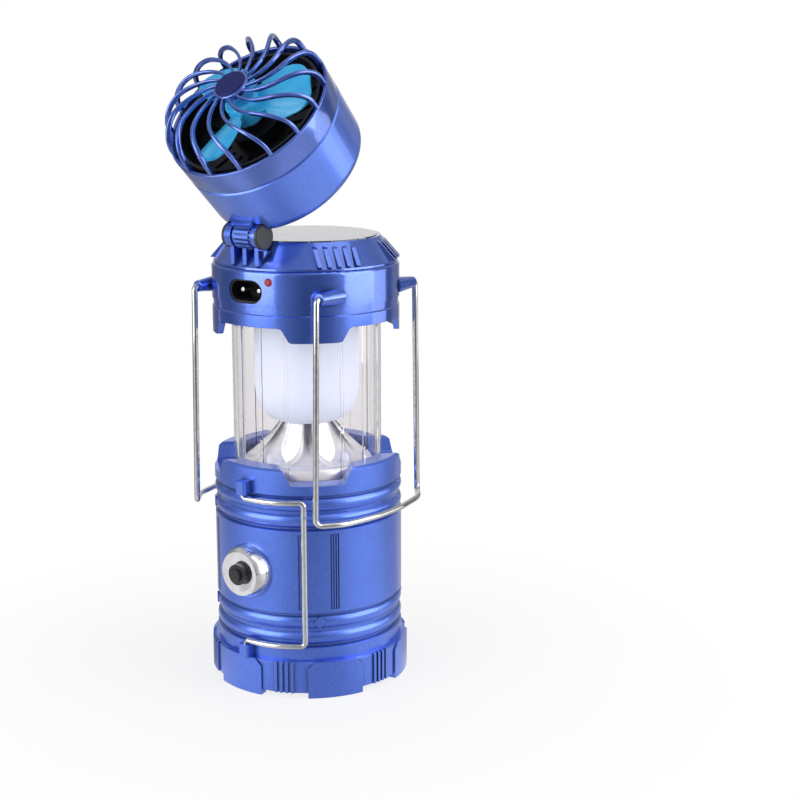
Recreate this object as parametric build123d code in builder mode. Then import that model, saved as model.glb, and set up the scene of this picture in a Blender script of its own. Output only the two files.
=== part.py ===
"""Camping lantern with a torch in its foot and a small fan hinged to its cap.

The lantern stands on its torch bezel. The cap, the clear tube and the lamp slide down into the
body, two wire bails hang from the cap, a wire handle folds round the body and the fan tilts on a
hinge at the front of the cap. The origin is on the lantern's axis at the floor, the front is -Y.
"""
from build123d import *
from math import cos, radians, sin, sqrt, tan
import os

os.makedirs("parts", exist_ok=True)

# Main size, from which the other round pieces follow
body_radius = 40.7  # outside of the base body

# Fits and allowances
running_gap = 0.08  # radial play of a pin in its bore
slide_gap = 0.4  # play between pieces that move past each other
seat_gap = 0.05  # play between pieces that are glued or screwed together
cut_overrun = 6.0  # how far a cutter passes the face that it opens
root_depth = 0.6  # how far a rib or lug reaches into the wall that carries it

# Torch bezel
bezel_overhang = 2.6
bezel_height = 16.0
bezel_groove_depth = 0.8
bezel_edge = 0.8
foot_height = 2.2
foot_width = 3.8
lip_inset = 2.9
lip_thickness = 1.6
panel_count = 6
panel_first_angle = 54.0
panel_half_angle = 16.2
panel_corner = 3.2
grip_rib_count = 4
grip_rib_step_angle = 3.2
grip_rib_half_angle = 0.85
grip_rib_edge = 0.5

# Torch optics
seal_thickness = 1.2
seal_width = 2.2
lens_thickness = 2.0
lens_inset = 1.6
reflector_wall = 1.2
reflector_step_width = 3.15
reflector_step_depth = 1.8
reflector_depth = 16.0
reflector_throat = 15.0
board_thickness = 1.6
led_base_radius = 6.0
led_base_height = 1.0
led_dome_radius = 4.5
led_dome_angle = 65.0

# Base body
body_height = 83.2
body_wall = 2.8
neck_wall = 1.7
floor_thickness = 1.4
floor_hole_radius = 3.0
band_width = 5.6
band_gap = 1.4
band_groove_depth = 1.4
rim_height = 10.9
rim_edge = 1.0
notch_count = 4
notch_first_angle = 45.0
notch_depth = 6.9
notch_clear = 0.5
stripe_width = 0.6
stripe_depth = 0.6
stripe_step_angle = 1.5
stripe_count = 4
stripe_group_angle = 7.3
clip_width = 3.6
clip_rise = 0.25
clip_bar_width = 3.0
clip_bar_height = 4.4

# Switch on the front of the body
switch_height = 53.6
switch_base_radius = 11.6
switch_face_radius = 9.45
switch_proud = 6.0
switch_pocket_depth = 1.8
switch_dish_radius = 7.6
switch_dish_depth = 0.5
switch_neck_radius = 6.2
switch_neck_length = 4.6
button_radius = 4.5
button_tip_radius = 2.7
button_step = 1.5
button_tip = 1.4
button_length = 5.4
button_travel = 2.0
nut_radius = 9.0
nut_thickness = 1.8

# Wire goods
wire_radius = 1.25
wire_bend = 1.8

# Carry handle on the front of the body
handle_lug_width = 5.0
handle_lug_height = 5.8
handle_lug_reach = 4.8
handle_lug_edge = 1.2
handle_pivot_reach = 2.7
handle_pin_length = 4.2
handle_sweep_angle = 36.5
handle_leg_bend = 30.0

# Clear tube and lamp
tube_inset = 8.7
tube_wall = 1.8
tube_engaged = 12.8
tube_rib_count = 16
tube_rib_width = 1.2
tube_rib_height = 0.5
tube_ledge_width = 3.0
tube_ledge_thickness = 1.4
catch_half_angle = 9.0
catch_height = 1.9
catch_reach = 3.4
petal_count = 6
petal_first_angle = 39.4
petal_flange_width = 1.65
petal_base_height = 1.4
petal_height = 23.0
petal_wall = 1.4
petal_level_shares = (0.0, 0.22, 0.5, 0.78, 1.0)
petal_crest_shares = (1.0, 0.87, 0.71, 0.58, 0.50)
petal_valley_shares = (0.95, 0.74, 0.56, 0.46, 0.42)
petal_ridge_shares = (0.82, 0.62, 0.42, 0.34, 0.32)
diffuser_inset = 9.4
diffuser_wall = 1.5
diffuser_flat_share = 0.52
diffuser_round_height = 16.5
diffuser_flange = 1.6
diffuser_flange_thickness = 1.4
lamp_led_size = 3.5
lamp_led_height = 0.9
lamp_led_count = 6
lamp_led_circle_share = 0.62

# Cap
cap_inset = 0.7
cap_wall = 2.2
slide_travel = 58.6
skirt_height = 8.4
skirt_step_height = 4.8
skirt_step_depth = 0.5
skirt_floor_thickness = 2.2
skirt_collar_wall = 1.9
skirt_collar_height = 3.6
tab_drop = 6.0
tab_half_width = 14.3
tab_side_run = 3.4
tab_corner = 2.2
tab_blend = 2.2
band_height = 14.9
band_edge = 1.6
cover_height = 11.0
cover_base_step = 0.8
cover_rise = 0.8
cover_top_inset = 8.0
cover_wall = 1.8
cover_spigot = 2.0
vent_group_count = 5
vent_group_step_angle = 60.0
vent_rib_count = 5
vent_rib_step = 4.2
vent_rib_width = 1.9
vent_rib_height = 1.7
vent_low_share = 0.10
vent_high_share = 0.92
solar_border = 1.6
solar_thickness = 1.4
solar_proud = 0.35
screw_count = 4
screw_first_angle = 45.0
screw_radius = 1.0
screw_head_radius = 1.7
screw_head_height = 1.2
screw_length = 9.0
screw_boss_size = 4.6
screw_boss_height = 8.0

# Charging socket, charge lamp, board and cell inside the cap
inlet_width = 17.8
inlet_height = 9.7
inlet_level = 6.0
inlet_length = 11.8
inlet_wall = 0.8
inlet_back = 1.8
inlet_inset = 1.6
inlet_pin_radius = 1.2
inlet_pin_pitch = 8.6
inlet_pin_length = 7.5
charge_led_radius = 1.6
charge_led_angle = 17.0
charge_led_level = 10.4
charge_led_proud = 0.7
charge_led_length = 4.6
circuit_width = 36.0
circuit_depth = 12.0
circuit_thickness = 1.6
circuit_rise = 2.6
circuit_gap = 2.6
circuit_post_radius = 1.8
circuit_post_pitch = 28.0
cell_radius = 9.1
cell_gap = 5.3
cell_end_gap = 2.7
cell_button_radius = 2.6
cell_button_height = 1.0
cradle_wall = 1.6
cradle_floor = 1.0
cradle_side_share = 0.55

# Bails on the cap
bail_reach_share = 0.825
bail_level = 4.5
bail_lug_radius = 2.4
bail_lug_length = 13.0
bail_lug_taper_angle = 5.5
bail_lug_tip_share = 0.8
bail_pin_length = 5.6
bail_drop = 93.6
bail_shoulder_out = 7.5
bail_shoulder_in = 9.6
bail_bow = 11.2
bail_bow_flat = 8.0
bail_corner_bend = 3.0
bail_splay = 2.0
bail_shoulder_bend = 18.0
bail_bow_bend = 56.0

# Fan hinge at the front of the cap
hinge_inset = 3.7
fan_rest_gap = 0.9
hinge_rise = 1.6
tilt_angle = 44.9
barrel_radius = 5.2
knuckle_low = -5.6
knuckle_high = 5.4
barrel_low = -8.9
barrel_high = 7.4
knuckle_rib_count = 16
knuckle_rib_width = 1.1
knuckle_rib_height = 0.8
hinge_pin_radius = 1.6
hinge_cap_thickness = 1.5
hinge_cap_edge = 0.5
post_width = 2.0
post_depth = 5.6
gusset_width = 3.4
arm_rise = 7.0
arm_depth = 3.4

# Fan
hinge_overhang = 1.7
fan_flare = 1.0
fan_length = 36.9
fan_seam = 25.7
fan_wall = 1.9
fan_back_round = 5.0
seam_groove = 0.6
fan_shelf_width = 2.6
fan_shelf_thickness = 2.6
back_cover_inset = 6.0
back_cover_thickness = 1.6
intake_slot_count = 12
intake_slot_width = 2.4
intake_slot_inner = 11.5
intake_slot_border = 3.6
spigot_length = 2.6
spigot_wall = 1.2
rib_count = 16
rib_hub_width = 1.3
rib_mid_width = 1.8
rib_rim_width = 2.5
rib_thickness = 1.9
rib_leg = 3.0
rib_swirl_angle = 46.0
rib_end_angle = 3.5
crown_height = 14.2
shoulder_radius = 11.5
grille_foot = 0.6
grille_lip = 1.4
hub_radius = 7.6
hub_thickness = 3.0
hub_cap_radius = 6.6
hub_cap_thickness = 0.7

# Motor and blades
motor_radius = 10.0
motor_length = 21.0
motor_front = 29.2
motor_boss_radius = 3.2
motor_boss_height = 1.4
motor_tail_height = 1.6
mount_wall = 1.2
mount_front = 36.2
mount_plate_level = 22.7
mount_plate_thickness = 1.6
mount_cup_wall = 1.4
mount_cup_depth = 8.0
mount_slot_count = 18
mount_slot_width = 2.0
mount_slot_border = 2.4
shaft_radius = 1.0
shaft_front = 43.7
blade_count = 3
blade_first_angle = 26.0
blade_level = 38.7
blade_hub_radius = 7.4
blade_hub_length = 9.0
blade_hub_edge = 1.6
blade_tip_gap = 1.6
blade_thickness = 1.5
blade_sheet_chord = 26.0
blade_radius_shares = (0.15, 0.45, 0.75, 1.05)
blade_pitch_angles = (30.0, 23.0, 18.0, 15.0)
blade_paddle_share = 0.3
blade_paddle_width = 21.0
blade_paddle_corner = 7.5
blade_root_width = 10.0

# Heights and radii that follow from the sizes above
bezel_radius = body_radius + bezel_overhang
lip_radius = body_radius - lip_inset
lens_radius = body_radius - lens_inset
tube_radius = body_radius - tube_inset
diffuser_radius = tube_radius - diffuser_inset
cap_radius = body_radius - cap_inset
cover_top_radius = cap_radius - cover_top_inset
solar_radius = cover_top_radius - solar_border
bail_reach = cap_radius * bail_reach_share
bail_lug_tip = cap_radius * bail_lug_tip_share
hinge_forward = cap_radius - hinge_inset
fan_back_radius = hinge_forward - hinge_overhang
fan_rim_radius = fan_back_radius + fan_flare
back_cover_radius = fan_back_radius - back_cover_inset
rim_top = bezel_height + body_height
rim_underside = rim_top - rim_height
groove_radius = body_radius - band_groove_depth
body_bore = body_radius - body_wall
skirt_bottom = rim_top + slide_travel + slide_gap
skirt_top = skirt_bottom + skirt_height
band_top = skirt_top + band_height
cover_top = band_top + cover_height
hinge_z = cover_top + fan_rest_gap + hinge_rise
tube_bottom = rim_top - tube_engaged
skirt_floor_top = skirt_top - root_depth * 2
skirt_floor = skirt_floor_top - skirt_floor_thickness
front_angle = -90.0  # the lantern's front, seen from above and measured from +X


def radial_plane(angle):
    """An upright plane through the lantern's axis: x runs outward at the angle, y runs up."""
    outward = Vector(cos(radians(angle)), sin(radians(angle)), 0)
    across = Vector(sin(radians(angle)), -cos(radians(angle)), 0)
    return Plane(origin=(0, 0, 0), x_dir=outward, z_dir=across)


def sector(inner, outer, low, high, half_angle):
    """A piece of an upright ring, centred on +X."""
    with BuildPart() as piece:
        with BuildSketch(radial_plane(-half_angle)):
            with Locations(((inner + outer) / 2, (low + high) / 2)):
                Rectangle(outer - inner, high - low)
        revolve(axis=Axis.Z, revolution_arc=2 * half_angle)
    return piece.part


def wedge(low, high, half_width, side_run, corner, blend, reach):
    """A block along +X with sloping sides, rounded lower corners and a blend into a wide upper part."""
    spread = half_width + 2 * blend + side_run
    with BuildPart() as piece:
        with BuildSketch(Plane.YZ) as outline:
            with BuildLine():
                Polyline(
                    (side_run - half_width, low),
                    (half_width - side_run, low),
                    (half_width, high),
                    (spread, high),
                    (spread, high + root_depth),
                    (-spread, high + root_depth),
                    (-spread, high),
                    (-half_width, high),
                    close=True,
                )
            make_face()
            fillet(outline.vertices().group_by(Axis.Y)[1].sort_by(Axis.X)[1:3], blend)
            fillet(outline.vertices().group_by(Axis.Y)[0], corner)
        extrude(amount=reach)
    return piece.part


# Torch bezel: a ring with six foot panels and groups of grip ribs between them
neck_radius = lens_radius
seal_low = foot_height + lip_thickness
lens_low = seal_low + seal_thickness
reflector_low = lens_low + lens_thickness
bezel_root = bezel_radius - bezel_groove_depth
panel_block = sector(bezel_radius - foot_width, bezel_radius, 0, bezel_height, panel_half_angle)
with BuildPart() as foot_panel:
    add(panel_block)
    with BuildSketch(Plane.XY.offset(foot_height)):
        Circle(bezel_root - root_depth)
    extrude(amount=bezel_height, mode=Mode.SUBTRACT)
    corner_edges = foot_panel.edges().filter_by(GeomType.LINE).group_by(Axis.Z)[-1]
    chamfer(corner_edges, panel_corner)
rib_block = sector(bezel_root - root_depth, bezel_radius, foot_height, bezel_height, grip_rib_half_angle)
with BuildPart() as grip_rib:
    add(rib_block)
    top_arcs = grip_rib.edges().filter_by(GeomType.CIRCLE).group_by(Axis.Z)[-1]
    chamfer(top_arcs.sort_by(SortBy.LENGTH)[-1], grip_rib_edge)
panel_step = 360 / panel_count
grip_group_width = grip_rib_step_angle * (grip_rib_count - 1)
with BuildPart() as bezel_ring:
    with BuildSketch(Plane.XZ):
        with BuildLine():
            Polyline(
                (lip_radius, foot_height),
                (bezel_root, foot_height),
                (bezel_root, bezel_height - bezel_edge),
                (bezel_root - bezel_edge, bezel_height),
                (neck_radius + seat_gap, bezel_height),
                (neck_radius + seat_gap, seal_low),
                (lip_radius, seal_low),
                close=True,
            )
        make_face()
    revolve(axis=Axis.Z)
    with PolarLocations(0, panel_count, start_angle=front_angle + panel_first_angle):
        add(foot_panel.part)
    for group in range(panel_count):
        group_angle = front_angle + panel_first_angle + panel_step * group + panel_step / 2
        group_start = group_angle - grip_group_width / 2
        with PolarLocations(0, grip_rib_count, group_start, grip_group_width, endpoint=True):
            add(grip_rib.part)
bezel_ring.part.label = "bezel_ring"
export_step(bezel_ring.part, "parts/bezel_ring.step")

# Gasket between the bezel lip and the lens
with BuildPart() as lens_seal:
    with BuildSketch(Plane.XY.offset(seal_low)):
        Circle(lens_radius)
        Circle(lens_radius - seal_width, mode=Mode.SUBTRACT)
    extrude(amount=seal_thickness)
lens_seal.part.label = "lens_seal"
export_step(lens_seal.part, "parts/lens_seal.step")

# Torch lens: a clear disc with softened edges
with BuildPart() as torch_lens:
    with BuildSketch(Plane.XY.offset(lens_low)):
        Circle(lens_radius)
    extrude(amount=lens_thickness)
    chamfer(torch_lens.edges(), lens_thickness / 8)
torch_lens.part.label = "torch_lens"
export_step(torch_lens.part, "parts/torch_lens.step")

# Torch reflector: a flange, a stepped ring and a deep bowl that ends in the throat
neck_bore = neck_radius - neck_wall
mouth_radius = neck_bore - seat_gap - reflector_wall
reflector_step_radius = mouth_radius - reflector_step_width
flange_top = reflector_low + reflector_wall
throat_level = reflector_low + reflector_depth
step_level = reflector_low + reflector_step_depth
bowl_mid_radius = (reflector_step_radius + reflector_throat) / 2 + reflector_step_depth
bowl_mid_level = (step_level + throat_level) / 2 + reflector_step_depth
with BuildPart() as torch_reflector:
    with BuildSketch(Plane.XZ):
        with BuildLine():
            inner_bowl = ThreePointArc(
                (reflector_step_radius, step_level),
                (bowl_mid_radius, bowl_mid_level),
                (reflector_throat, throat_level),
            )
            outer_bowl = ThreePointArc(
                (reflector_step_radius + reflector_wall, step_level + reflector_wall),
                (bowl_mid_radius + reflector_wall, bowl_mid_level + reflector_wall),
                (reflector_throat + reflector_wall, throat_level),
            )
            Line(inner_bowl @ 1, outer_bowl @ 1)
            Polyline(
                inner_bowl @ 0,
                (mouth_radius, step_level),
                (mouth_radius, reflector_low),
                (lens_radius, reflector_low),
                (lens_radius, flange_top),
                (mouth_radius + reflector_wall, flange_top),
                (mouth_radius + reflector_wall, step_level + reflector_wall),
                outer_bowl @ 0,
            )
        make_face()
    revolve(axis=Axis.Z)
torch_reflector.part.label = "torch_reflector"
export_step(torch_reflector.part, "parts/torch_reflector.step")

# Torch board and its emitter, over the throat of the bowl
with BuildPart() as torch_led_board:
    with BuildSketch(Plane.XY.offset(throat_level)):
        Circle(reflector_throat + 2 * reflector_wall)
    extrude(amount=board_thickness)
torch_led_board.part.label = "torch_led_board"
export_step(torch_led_board.part, "parts/torch_led_board.step")

led_face = throat_level - led_base_height
led_dome_depth = led_dome_radius * (1 - cos(radians(led_dome_angle)))
with BuildPart() as torch_led:
    with BuildSketch(Plane.XY.offset(led_face)):
        Circle(led_base_radius)
    extrude(amount=led_base_height)
    with BuildSketch(Plane.XZ):
        with BuildLine():
            dome = JernArc((0, led_face - led_dome_depth), (1, 0), led_dome_radius, led_dome_angle)
            Polyline(dome @ 1, (0, led_face), dome @ 0)
        make_face()
    revolve(axis=Axis.Z)
torch_led.part.label = "torch_led"
export_step(torch_led.part, "parts/torch_led.step")

# Base body: neck, banded wall, floor over the torch, notched rim, handle lugs and switch pocket
floor_low = throat_level + board_thickness
floor_top = floor_low + floor_thickness
lower_bands = [bezel_height + band_width + band_gap, bezel_height + 2 * (band_width + band_gap)]
upper_bands = [rim_underside - band_width - band_gap, rim_underside - 2 * (band_width + band_gap)]
plain_low = bezel_height + 3 * (band_width + band_gap)
plain_high = rim_underside - 2 * (band_width + band_gap) - band_gap
pivot_y = -(body_radius + handle_pivot_reach)
lug_reach = body_radius + handle_lug_reach
pocket_floor = body_radius - switch_pocket_depth
rim_notch = wedge(rim_top - notch_depth, rim_top, tab_half_width + notch_clear, tab_side_run, tab_corner,
                  tab_blend, body_radius + cut_overrun)
with BuildPart() as base_body:
    with BuildSketch(Plane.XZ):
        with BuildLine():
            Polyline(
                (neck_bore, flange_top),
                (neck_radius, flange_top),
                (neck_radius, bezel_height),
                (body_radius, bezel_height),
                (body_radius, bezel_height + band_width),
                (groove_radius, bezel_height + band_width + band_gap / 2),
                (groove_radius, plain_low - band_gap / 2),
                (body_radius, plain_low),
                (body_radius, plain_high),
                (groove_radius, plain_high + band_gap / 2),
                (groove_radius, rim_underside - band_gap / 2),
                (body_radius, rim_underside),
                (body_radius, rim_top - rim_edge),
                (body_radius - rim_edge, rim_top),
                (tube_radius + slide_gap, rim_top),
                (tube_radius + slide_gap, rim_underside),
                (body_bore, rim_underside),
                (body_bore, floor_top),
                (floor_hole_radius, floor_top),
                (floor_hole_radius, floor_low),
                (neck_bore, floor_low),
                close=True,
            )
        make_face()
    revolve(axis=Axis.Z)
    for band_low in lower_bands + upper_bands:
        with BuildSketch(Plane.XZ):
            with BuildLine():
                swell = ThreePointArc(
                    (groove_radius, band_low),
                    (body_radius, band_low + band_width / 2),
                    (groove_radius, band_low + band_width),
                )
                Polyline(
                    swell @ 1,
                    (groove_radius - root_depth, band_low + band_width),
                    (groove_radius - root_depth, band_low),
                    swell @ 0,
                )
            make_face()
        revolve(axis=Axis.Z)
    for lug_low in (bezel_height, rim_underside - root_depth):
        with BuildSketch(Plane.XY.offset(lug_low)):
            with Locations((0, -lug_reach)):
                lug_depth = lug_reach - groove_radius + root_depth
                Rectangle(handle_lug_width, lug_depth, align=(Align.CENTER, Align.MIN))
        handle_lug = extrude(amount=handle_lug_height)
        outer_edges = handle_lug.edges().filter_by(Axis.Z).group_by(Axis.Y)[0]
        fillet(outer_edges, handle_lug_edge)
    with PolarLocations(0, notch_count, start_angle=front_angle + notch_first_angle):
        add(rim_notch, mode=Mode.SUBTRACT)
    for corner in range(notch_count):
        for side in (-1, 1):
            for stripe in range(stripe_count):
                corner_angle = front_angle + notch_first_angle + corner * 360 / notch_count
                stripe_angle = corner_angle + side * (stripe_group_angle + stripe * stripe_step_angle)
                with BuildSketch(radial_plane(stripe_angle)):
                    with Locations((body_radius, (plain_low + plain_high) / 2)):
                        Rectangle(2 * stripe_depth, plain_high - plain_low - 2 * band_gap)
                extrude(amount=stripe_width / 2, both=True, mode=Mode.SUBTRACT)
        corner_plane = radial_plane(corner_angle)
        clip_origin = corner_plane.from_local_coords((groove_radius, lower_bands[1] + band_width / 2, 0))
        with BuildSketch(Plane(origin=clip_origin, x_dir=(0, 0, 1), z_dir=corner_plane.x_dir)):
            Rectangle(clip_width, clip_width, rotation=45)
        extrude(amount=band_groove_depth + clip_rise)
        bar_origin = corner_plane.from_local_coords((groove_radius, upper_bands[1] + band_width / 2, 0))
        with BuildSketch(Plane(origin=bar_origin, x_dir=(0, 0, 1), z_dir=corner_plane.x_dir)):
            Rectangle(clip_bar_height, clip_bar_width)
        extrude(amount=band_groove_depth + clip_rise)
    with BuildSketch(Plane.XZ.offset(pocket_floor)):
        with Locations((0, switch_height)):
            Circle(switch_base_radius + seat_gap)
    extrude(amount=cut_overrun, mode=Mode.SUBTRACT)
    with BuildSketch(Plane.XZ.offset(tube_radius)):
        with Locations((0, switch_height)):
            Circle(switch_neck_radius + seat_gap)
    extrude(amount=cut_overrun + body_wall, mode=Mode.SUBTRACT)
    pivot_bore = wire_radius + running_gap
    with BuildSketch(Plane.XY.offset(rim_underside - root_depth)):
        with Locations((0, pivot_y)):
            Circle(pivot_bore)
    extrude(amount=handle_pin_length, mode=Mode.SUBTRACT)
    with BuildSketch(Plane.XY.offset(bezel_height + handle_lug_height)):
        with Locations((0, pivot_y)):
            Circle(pivot_bore)
    extrude(amount=-handle_pin_length, mode=Mode.SUBTRACT)
base_body.part.label = "base_body"
export_step(base_body.part, "parts/base_body.step")

# Switch bezel: a flared ring with a dished face and a neck through the wall
switch_axis = Axis((0, 0, switch_height), (0, -1, 0))
switch_plane = Plane(origin=(0, 0, switch_height), x_dir=(1, 0, 0), z_dir=(0, 0, 1))
switch_face = body_radius + switch_proud
button_bore = button_radius + running_gap
neck_end = pocket_floor - switch_neck_length
with BuildPart() as switch_bezel:
    with BuildSketch(switch_plane):
        with BuildLine():
            flare = ThreePointArc(
                (switch_base_radius, -body_radius),
                ((switch_base_radius + switch_face_radius) / 2 + switch_dish_depth,
                 -(body_radius + switch_face) / 2),
                (switch_face_radius, -switch_face),
            )
            Polyline(
                flare @ 1,
                (switch_dish_radius, -switch_face),
                (button_bore, -switch_face + switch_dish_depth),
                (button_bore, -neck_end),
                (switch_neck_radius, -neck_end),
                (switch_neck_radius, -pocket_floor),
                (switch_base_radius, -pocket_floor),
                flare @ 0,
            )
        make_face()
    revolve(axis=switch_axis)
switch_bezel.part.label = "switch_bezel"
export_step(switch_bezel.part, "parts/switch_bezel.step")

# Switch nut: a hexagon on the neck, tight against the inside of the wall
nut_face = sqrt(body_bore**2 - nut_radius**2)
with BuildPart() as switch_nut:
    with BuildSketch(Plane.XZ.offset(nut_face)):
        with Locations((0, switch_height)):
            RegularPolygon(nut_radius, 6)
            Circle(switch_neck_radius + seat_gap, mode=Mode.SUBTRACT)
    extrude(amount=-nut_thickness)
switch_nut.part.label = "switch_nut"
export_step(switch_nut.part, "parts/switch_nut.step")

# Switch button: a stepped plunger that slides in the bezel
button_face = switch_face + button_step
button_back = button_face - button_length - button_step
with BuildPart() as switch_button:
    with BuildSketch(Plane.XZ.offset(button_back)):
        with Locations((0, switch_height)):
            Circle(button_radius)
    extrude(amount=button_face - button_back)
    with BuildSketch(Plane.XZ.offset(button_face)):
        with Locations((0, switch_height)):
            Circle(button_tip_radius)
    extrude(amount=button_tip)
    chamfer(switch_button.edges().group_by(Axis.Y)[0], button_tip / 4)
switch_button.part.label = "switch_button"
export_step(switch_button.part, "parts/switch_button.step")

# Switch body: the contact block that fills the neck behind the button
switch_block_face = button_back - button_travel - slide_gap
with BuildPart() as switch_body:
    with BuildSketch(Plane.XZ.offset(neck_end)):
        with Locations((0, switch_height)):
            Circle(button_radius)
    extrude(amount=switch_block_face - neck_end)
    with BuildSketch(Plane.XZ.offset(neck_end)):
        with Locations((0, switch_height)):
            Circle(switch_neck_radius)
    extrude(amount=-nut_thickness / 2)
switch_body.part.label = "switch_body"
export_step(switch_body.part, "parts/switch_body.step")

# Carry handle: a wire that pivots in the two lugs and lies round the front of the body
handle_high = rim_underside - root_depth - slide_gap - wire_radius
handle_low = bezel_height + handle_lug_height + slide_gap + wire_radius
pin_reach = handle_pin_length - slide_gap
handle_tangent = -pivot_y * tan(radians(handle_sweep_angle / 2))
handle_bar = (-pivot_y * sin(radians(handle_sweep_angle)), pivot_y * cos(radians(handle_sweep_angle)))
with BuildPart() as carry_handle:
    with BuildLine() as handle_path:
        FilletPolyline(
            (0, pivot_y, rim_underside - root_depth + pin_reach),
            (0, pivot_y, handle_high),
            (handle_tangent, pivot_y, handle_high),
            (*handle_bar, handle_high),
            (*handle_bar, handle_low),
            (handle_tangent, pivot_y, handle_low),
            (0, pivot_y, handle_low),
            (0, pivot_y, bezel_height + handle_lug_height - pin_reach),
            radius=[wire_radius, handle_leg_bend, wire_bend, wire_bend, handle_leg_bend, wire_radius],
        )
    with BuildSketch(Plane.XY.offset(rim_underside - root_depth + pin_reach)):
        with Locations((0, pivot_y)):
            Circle(wire_radius)
    sweep(path=handle_path.wires()[0])
carry_handle.part.label = "carry_handle"
export_step(carry_handle.part, "parts/carry_handle.step")

# Clear tube: ribbed inside, with a ledge for the petals and four catches under the rim
tube_bore = tube_radius - tube_wall
catch = sector(tube_bore + root_depth, tube_radius + catch_reach, tube_bottom, tube_bottom + catch_height,
               catch_half_angle)
with BuildPart() as lens_tube:
    with BuildSketch(Plane.XY.offset(tube_bottom)):
        Circle(tube_radius)
        Circle(tube_bore, mode=Mode.SUBTRACT)
        with PolarLocations(tube_bore, tube_rib_count):
            Rectangle(2 * tube_rib_height, tube_rib_width)
    extrude(amount=skirt_floor - tube_bottom)
    with BuildSketch(Plane.XY.offset(tube_bottom)):
        Circle(tube_bore + root_depth)
        Circle(tube_bore - tube_ledge_width, mode=Mode.SUBTRACT)
    extrude(amount=tube_ledge_thickness)
    with PolarLocations(0, notch_count, start_angle=front_angle + notch_first_angle):
        add(catch)
lens_tube.part.label = "lens_tube"
export_step(lens_tube.part, "parts/lens_tube.step")

# Petal reflector: a hollow bell of six lobes that stands on the ledge
petal_low = tube_bottom + tube_ledge_thickness
petal_flange_radius = tube_bore - tube_rib_height - seat_gap
petal_base_radius = petal_flange_radius - petal_flange_width
petal_half_step = radians(180 / petal_count)


def petal_bell(inset, low):
    """The solid bell, drawn in from its full size by the inset and starting at the given height."""
    with BuildPart() as piece:
        for row, level in enumerate(petal_level_shares):
            crest_radius = petal_base_radius * petal_crest_shares[row] - inset
            valley_radius = petal_base_radius * petal_valley_shares[row] - inset
            ridge_half = petal_half_step * petal_ridge_shares[row]
            edge_radius = (crest_radius + valley_radius) / 2
            with BuildSketch(Plane.XY.offset(low + level * petal_height)):
                with BuildLine():
                    for petal in range(petal_count):
                        crest = radians(front_angle + petal_first_angle) + 2 * petal_half_step * petal
                        start = crest - ridge_half
                        end = crest + ridge_half
                        valley = crest + petal_half_step
                        after = crest + 2 * petal_half_step - ridge_half
                        ThreePointArc(
                            (edge_radius * cos(start), edge_radius * sin(start)),
                            (crest_radius * cos(crest), crest_radius * sin(crest)),
                            (edge_radius * cos(end), edge_radius * sin(end)),
                        )
                        ThreePointArc(
                            (edge_radius * cos(end), edge_radius * sin(end)),
                            (valley_radius * cos(valley), valley_radius * sin(valley)),
                            (edge_radius * cos(after), edge_radius * sin(after)),
                        )
                make_face()
        loft()
    return piece.part


petal_outside = petal_bell(0, petal_low + petal_base_height)
petal_inside = petal_bell(petal_wall, petal_low - petal_wall)
with BuildPart() as petal_reflector:
    with BuildSketch(Plane.XY.offset(petal_low)):
        Circle(petal_flange_radius)
    extrude(amount=petal_base_height)
    add(petal_outside)
    add(petal_inside, mode=Mode.SUBTRACT)
petal_reflector.part.label = "petal_reflector"
export_step(petal_reflector.part, "parts/petal_reflector.step")

# Diffuser: a frosted bulb with a flange under the skirt's floor
petal_top = petal_low + petal_base_height + petal_height
diffuser_bottom = petal_top + slide_gap
diffuser_flat = diffuser_radius * diffuser_flat_share
round_width = diffuser_radius - diffuser_flat
round_top = diffuser_bottom + diffuser_round_height
diffuser_bore = diffuser_radius - diffuser_wall
low_corner = (Align.MIN, Align.MIN)
with BuildPart() as diffuser:
    with BuildSketch(Plane.XZ):
        with Locations((0, diffuser_bottom)):
            Rectangle(diffuser_flat, diffuser_round_height, align=low_corner)
        with Locations((diffuser_flat, round_top)):
            Ellipse(round_width, diffuser_round_height)
        with Locations((0, round_top)):
            Rectangle(diffuser_radius, skirt_floor - round_top, align=low_corner)
        with Locations((0, skirt_floor - diffuser_flange_thickness)):
            Rectangle(diffuser_radius + diffuser_flange, diffuser_flange_thickness, align=low_corner)
        with Locations((0, diffuser_bottom + diffuser_wall)):
            Rectangle(diffuser_flat, diffuser_round_height, align=low_corner, mode=Mode.SUBTRACT)
        with Locations((diffuser_flat, round_top)):
            Ellipse(round_width - diffuser_wall, diffuser_round_height - diffuser_wall, mode=Mode.SUBTRACT)
        with Locations((0, round_top)):
            Rectangle(diffuser_bore, skirt_floor - round_top, align=low_corner, mode=Mode.SUBTRACT)
    revolve(axis=Axis.Z)
diffuser.part.label = "diffuser"
export_step(diffuser.part, "parts/diffuser.step")

# Lamp board and its chips, on the skirt's floor inside the bulb
lamp_face = skirt_floor - board_thickness
lamp_board_radius = diffuser_bore - slide_gap
with BuildPart() as lamp_board:
    with BuildSketch(Plane.XY.offset(lamp_face)):
        Circle(lamp_board_radius)
    extrude(amount=board_thickness)
lamp_board.part.label = "lamp_board"
export_step(lamp_board.part, "parts/lamp_board.step")

with BuildPart() as lamp_leds:
    with BuildSketch(Plane.XY.offset(lamp_face)):
        with PolarLocations(lamp_board_radius * lamp_led_circle_share, lamp_led_count):
            RectangleRounded(lamp_led_size, lamp_led_size, lamp_led_size / 6)
    extrude(amount=-lamp_led_height)
lamp_leds.part.label = "lamp_leds"
export_step(lamp_leds.part, "parts/lamp_leds.step")

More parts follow.
